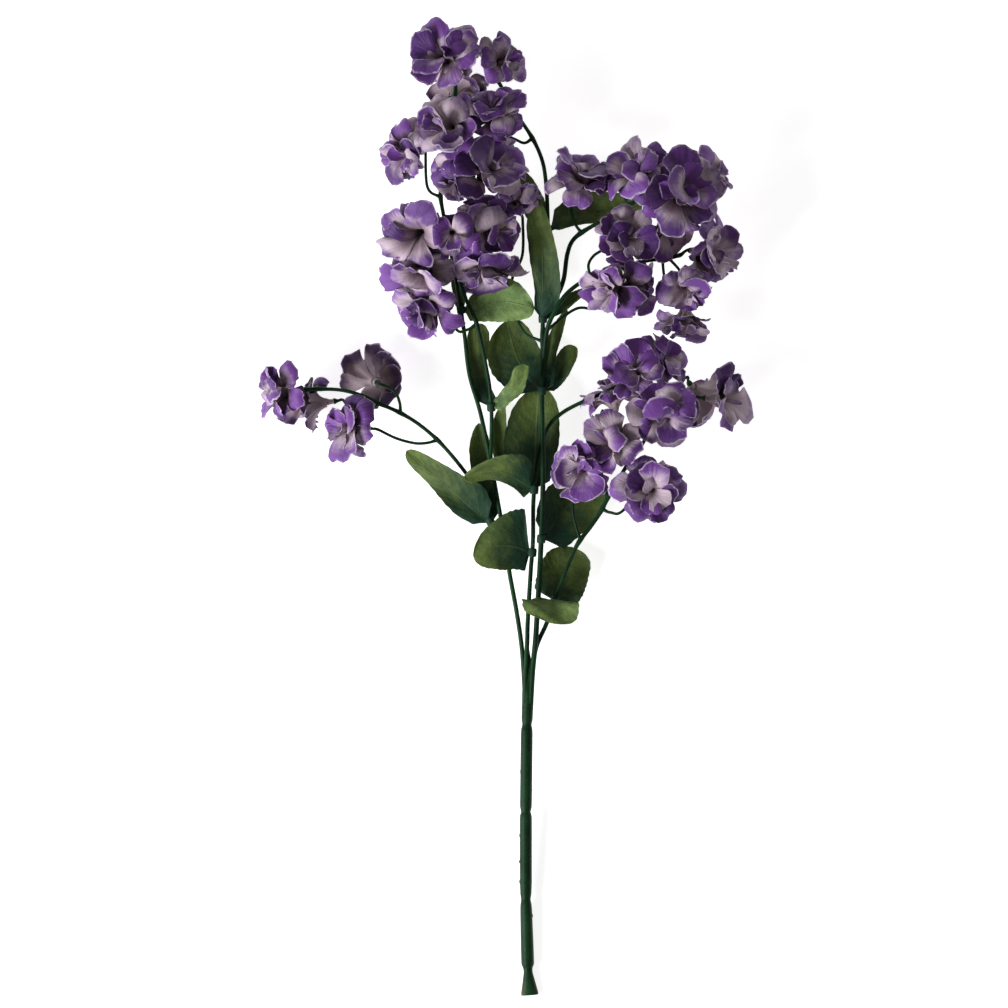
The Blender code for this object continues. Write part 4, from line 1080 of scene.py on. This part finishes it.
class BloomLooks(bpy.types.PropertyGroup):
    thickness: amount_value("Petal thickness", "Thickness of the petal cloth", 0.00035, "LENGTH")
    petal_columns: count_value("Columns", "Faces across one petal", 16, 6)
    petal_rows: count_value("Rows", "Rings of points from the throat to the rim", 15, 6)
    purple: colour_value("Purple", "Deep colour of the blotch on a petal", 60, 14, 90)
    lavender: colour_value("Lavender", "Light colour of the blotch on a petal", 114, 60, 148)
    pale: colour_value("Pale", "Colour of the bare cloth", 200, 180, 192)
    back: colour_value("Back", "Colour of the undersides and funnels", 156, 136, 142)
    # partly the cloth's own mauve and partly painted shade on the petals' bases round the throat
    ring: colour_value("Ring", "Colour round the throat", 104, 76, 88)
    # painted shade: near-black, put deep in the throat
    throat: colour_value("Throat", "Colour deep in the throat", 26, 18, 34)
    # pale cut edges, partly a painted highlight along the rims
    rim: colour_value("Rim", "Colour of the cut edges", 214, 196, 220)


class LeafLooks(bpy.types.PropertyGroup):
    thickness: amount_value("Leaf thickness", "Thickness of the leaf cloth", 0.0004, "LENGTH")
    leaf_columns: count_value("Columns", "Points across one leaf", 23, 5)
    leaf_rows: count_value("Rows", "Points along one leaf", 56, 8)
    root: colour_value("Root", "Dark colour at a leaf's root", 28, 60, 42)
    tip: colour_value("Tip", "Olive colour at a leaf's tip", 96, 114, 54)
    # partly the lightest leaves' own colour and partly painted light
    bright: colour_value("Bright", "Colour of the lightest leaves", 132, 162, 96)
    vein: colour_value("Vein", "Colour of the printed veins", 120, 140, 92)
    under: colour_value("Underside", "Colour of the undersides", 94, 114, 66)


class StemLooks(bpy.types.PropertyGroup):
    stem_sides: count_value("Stem sides", "Points round the jointed stem", 36, 8)
    stalk_sides: count_value("Stalk sides", "Points round a stalk or twig", 12, 6)
    ring_step: amount_value(
        "Ring step", "Distance between the rings of a stalk", 0.002, "LENGTH", 0.0005)
    dark: colour_value("Dark", "Darker colour of the plastic", 10, 40, 18)
    light: colour_value("Light", "Lighter colour of the plastic", 26, 66, 34)
    cut: colour_value("Cut", "Colour of the scuffed cut end", 96, 70, 52)


class StageLooks(bpy.types.PropertyGroup):
    key_power: amount_value("Key light", "Power of the large soft light", 48, "POWER")
    fill_power: amount_value("Fill light", "Power of the weak light opposite it", 3, "POWER")
    sky: share_value("Surroundings", "Strength of the even light from all round", 0.14)
    glow: share_value("Glow", "Light that the table gives itself, as on a light box", 0.78)
    floor: colour_value("Floor", "Colour of the table", 250, 250, 250)
    clouds: colour_value("Floor's clouds", "Colour of the faint clouds on the table", 240, 240, 242)


def looks_of(context, group):
    """The scene's sizes and colours of that group, which register() has to have added."""
    looks = getattr(context.scene, group, None)
    if looks is None:
        raise RuntimeError("the add-on's " + group + " aren't registered")
    return looks


class Stem_OT_jointed_stem(bpy.types.Operator):
    """Builds the jointed stem"""
    bl_idname = "gypsophila.jointed_stem"
    bl_label = "Jointed stem"

    def execute(self, context):
        stem_piece(looks_of(context, "stem_looks"))
        return {"FINISHED"}


class Stem_OT_branches(bpy.types.Operator):
    """Builds the four branches with their twigs"""
    bl_idname = "gypsophila.branches"
    bl_label = "Branches"

    def execute(self, context):
        look = looks_of(context, "stem_looks")
        plastic = bpy.data.materials.get("stem_plastic")
        if plastic is None:
            raise RuntimeError("the jointed stem, which brings the plastic, is built first")
        for name in STALKS:
            branch_piece(name, look, plastic)
        return {"FINISHED"}


class Stem_OT_leaves(bpy.types.Operator):
    """Builds the whorls of leaves"""
    bl_idname = "gypsophila.leaves"
    bl_label = "Leaves"

    def execute(self, context):
        look = looks_of(context, "leaf_looks")
        cloth = leaf_cloth(look)
        for name in WHORLS:
            whorl_piece(name, look, cloth)
        return {"FINISHED"}


class Stem_OT_blooms(bpy.types.Operator):
    """Builds the blooms"""
    bl_idname = "gypsophila.blooms"
    bl_label = "Blooms"

    def execute(self, context):
        look = looks_of(context, "bloom_looks")
        cloth = petal_cloth(look)
        for name in BLOOMS:
            bloom_piece(name, look, cloth)
        return {"FINISHED"}


VIEW_CENTRE = (0.0, 0.6)  # of the photographed frame on the table, in millimetres
VIEW_WIDTH = 604.8
# The rest of the stage is in metres
CAMERA_HEIGHT = 1.6
FLOOR_HALF = 6.0
FLOOR_ROUGHNESS = 0.9
CLOUD_SHARE = 0.04       # how much the clouds on the floor show
WHITE = (1, 1, 1)
SKY_COLOUR = (1, 0.95, 0.93)
# Each light: its place, what it is aimed at, its size and its colour
KEY_LIGHT = ((-1.5, -0.75, 0.95), (0, 0.1, 0), 0.9, (0.96, 0.96, 1.0))
FILL_LIGHT = ((1.2, 0.9, 1.2), (0, 0.05, 0), 1.5, WHITE)


def lamp(name, power, place, aim, size, tint):
    """A square soft light at a place, turned to its aim."""
    data = bpy.data.lights.new(name, "AREA")
    data.size, data.energy, data.color = size, power, tint
    made = link(name, data)
    made.location = place
    way = np.array(aim) - np.array(place)
    flat = math.hypot(way[0], way[1])
    made.rotation_euler = (math.atan2(flat, -way[2]), 0, math.atan2(way[1], way[0]) - math.pi / 2)


def table_top(look):
    """The floor: one square that glows a little, as a light box does."""
    paint = Paint("floor", Roughness=FLOOR_ROUGHNESS)
    cloud = paint.noise(paint.place(), *FLOOR_CLOUDS)
    inputs = paint.shader.inputs
    paint.join(inputs["Base Color"], paint.mix(cloud * CLOUD_SHARE, look.floor, look.clouds))
    paint.join(inputs["Emission Color"], WHITE)
    paint.join(inputs["Emission Strength"], look.glow)
    side = np.array((-1, 1)) * FLOOR_HALF
    corners = [(side[i], side[j], 0) for i, j in ((0, 0), (1, 0), (1, 1), (0, 1))]
    mesh = bpy.data.meshes.new("floor")
    mesh.from_pydata(corners, [], [(0, 1, 2, 3)])
    mesh.materials.append(paint.material)
    floor = link("floor", mesh)


def camera():
    """Looks straight down on the photographed frame, without perspective."""
    data = bpy.data.cameras.new("camera")
    data.type = "ORTHO"
    data.ortho_scale = VIEW_WIDTH * MM
    made = link("camera", data)
    made.location = (VIEW_CENTRE[0] * MM, VIEW_CENTRE[1] * MM, CAMERA_HEIGHT)
    bpy.context.scene.camera = made


class Stem_OT_stage(bpy.types.Operator):
    """Builds the floor, the lights and the camera"""
    bl_idname = "gypsophila.stage"
    bl_label = "Stage"

    def execute(self, context):
        look = looks_of(context, "stage_looks")
        table_top(look)
        lamp("key", look.key_power, *KEY_LIGHT)
        lamp("fill", look.fill_power, *FILL_LIGHT)
        world = bpy.data.worlds.new("surroundings")
        context.scene.world = world
        world.use_nodes = True
        backdrop = world.node_tree.nodes["Background"].inputs
        backdrop["Color"].default_value = (*SKY_COLOUR, 1)
        backdrop["Strength"].default_value = look.sky
        camera()
        context.scene.view_settings.view_transform = "Standard"
        return {"FINISHED"}


class Stem_PT_panel(bpy.types.Panel):
    """Lists the looks and the pieces"""
    bl_label = "Artificial gypsophila stem"
    bl_idname = "STEM_PT_panel"
    bl_space_type = "VIEW_3D"
    bl_region_type = "UI"
    bl_category = "Stem"

    def draw(self, context):
        for operator, group in STEPS:
            box = self.layout.box()
            box.operator(operator.bl_idname)
            looks = getattr(context.scene, group)
            for name in looks.bl_rna.properties.keys():
                if name not in ("rna_type", "name"):
                    box.prop(looks, name)


STEPS = (
    (Stem_OT_stage, "stage_looks"),
    (Stem_OT_jointed_stem, "stem_looks"),
    (Stem_OT_branches, "stem_looks"),
    (Stem_OT_leaves, "leaf_looks"),
    (Stem_OT_blooms, "bloom_looks"),
)
GROUPS = {"bloom_looks": BloomLooks, "leaf_looks": LeafLooks, "stem_looks": StemLooks,
          "stage_looks": StageLooks}
CLASSES = (*GROUPS.values(), *(operator for operator, _ in STEPS), Stem_PT_panel)


def register():
    for group in CLASSES:
        bpy.utils.register_class(group)
    for name, group in GROUPS.items():
        setattr(bpy.types.Scene, name, bpy.props.PointerProperty(type=group))


def unregister():
    for name in GROUPS:
        delattr(bpy.types.Scene, name)
    for group in reversed(CLASSES):
        bpy.utils.unregister_class(group)


def main():
    register()
    for operator, _ in STEPS:
        group, name = operator.bl_idname.split(".")
        if getattr(getattr(bpy.ops, group), name)() != {"FINISHED"}:
            raise RuntimeError(operator.bl_label + " didn't finish")


if __name__ == "__main__":
    main()
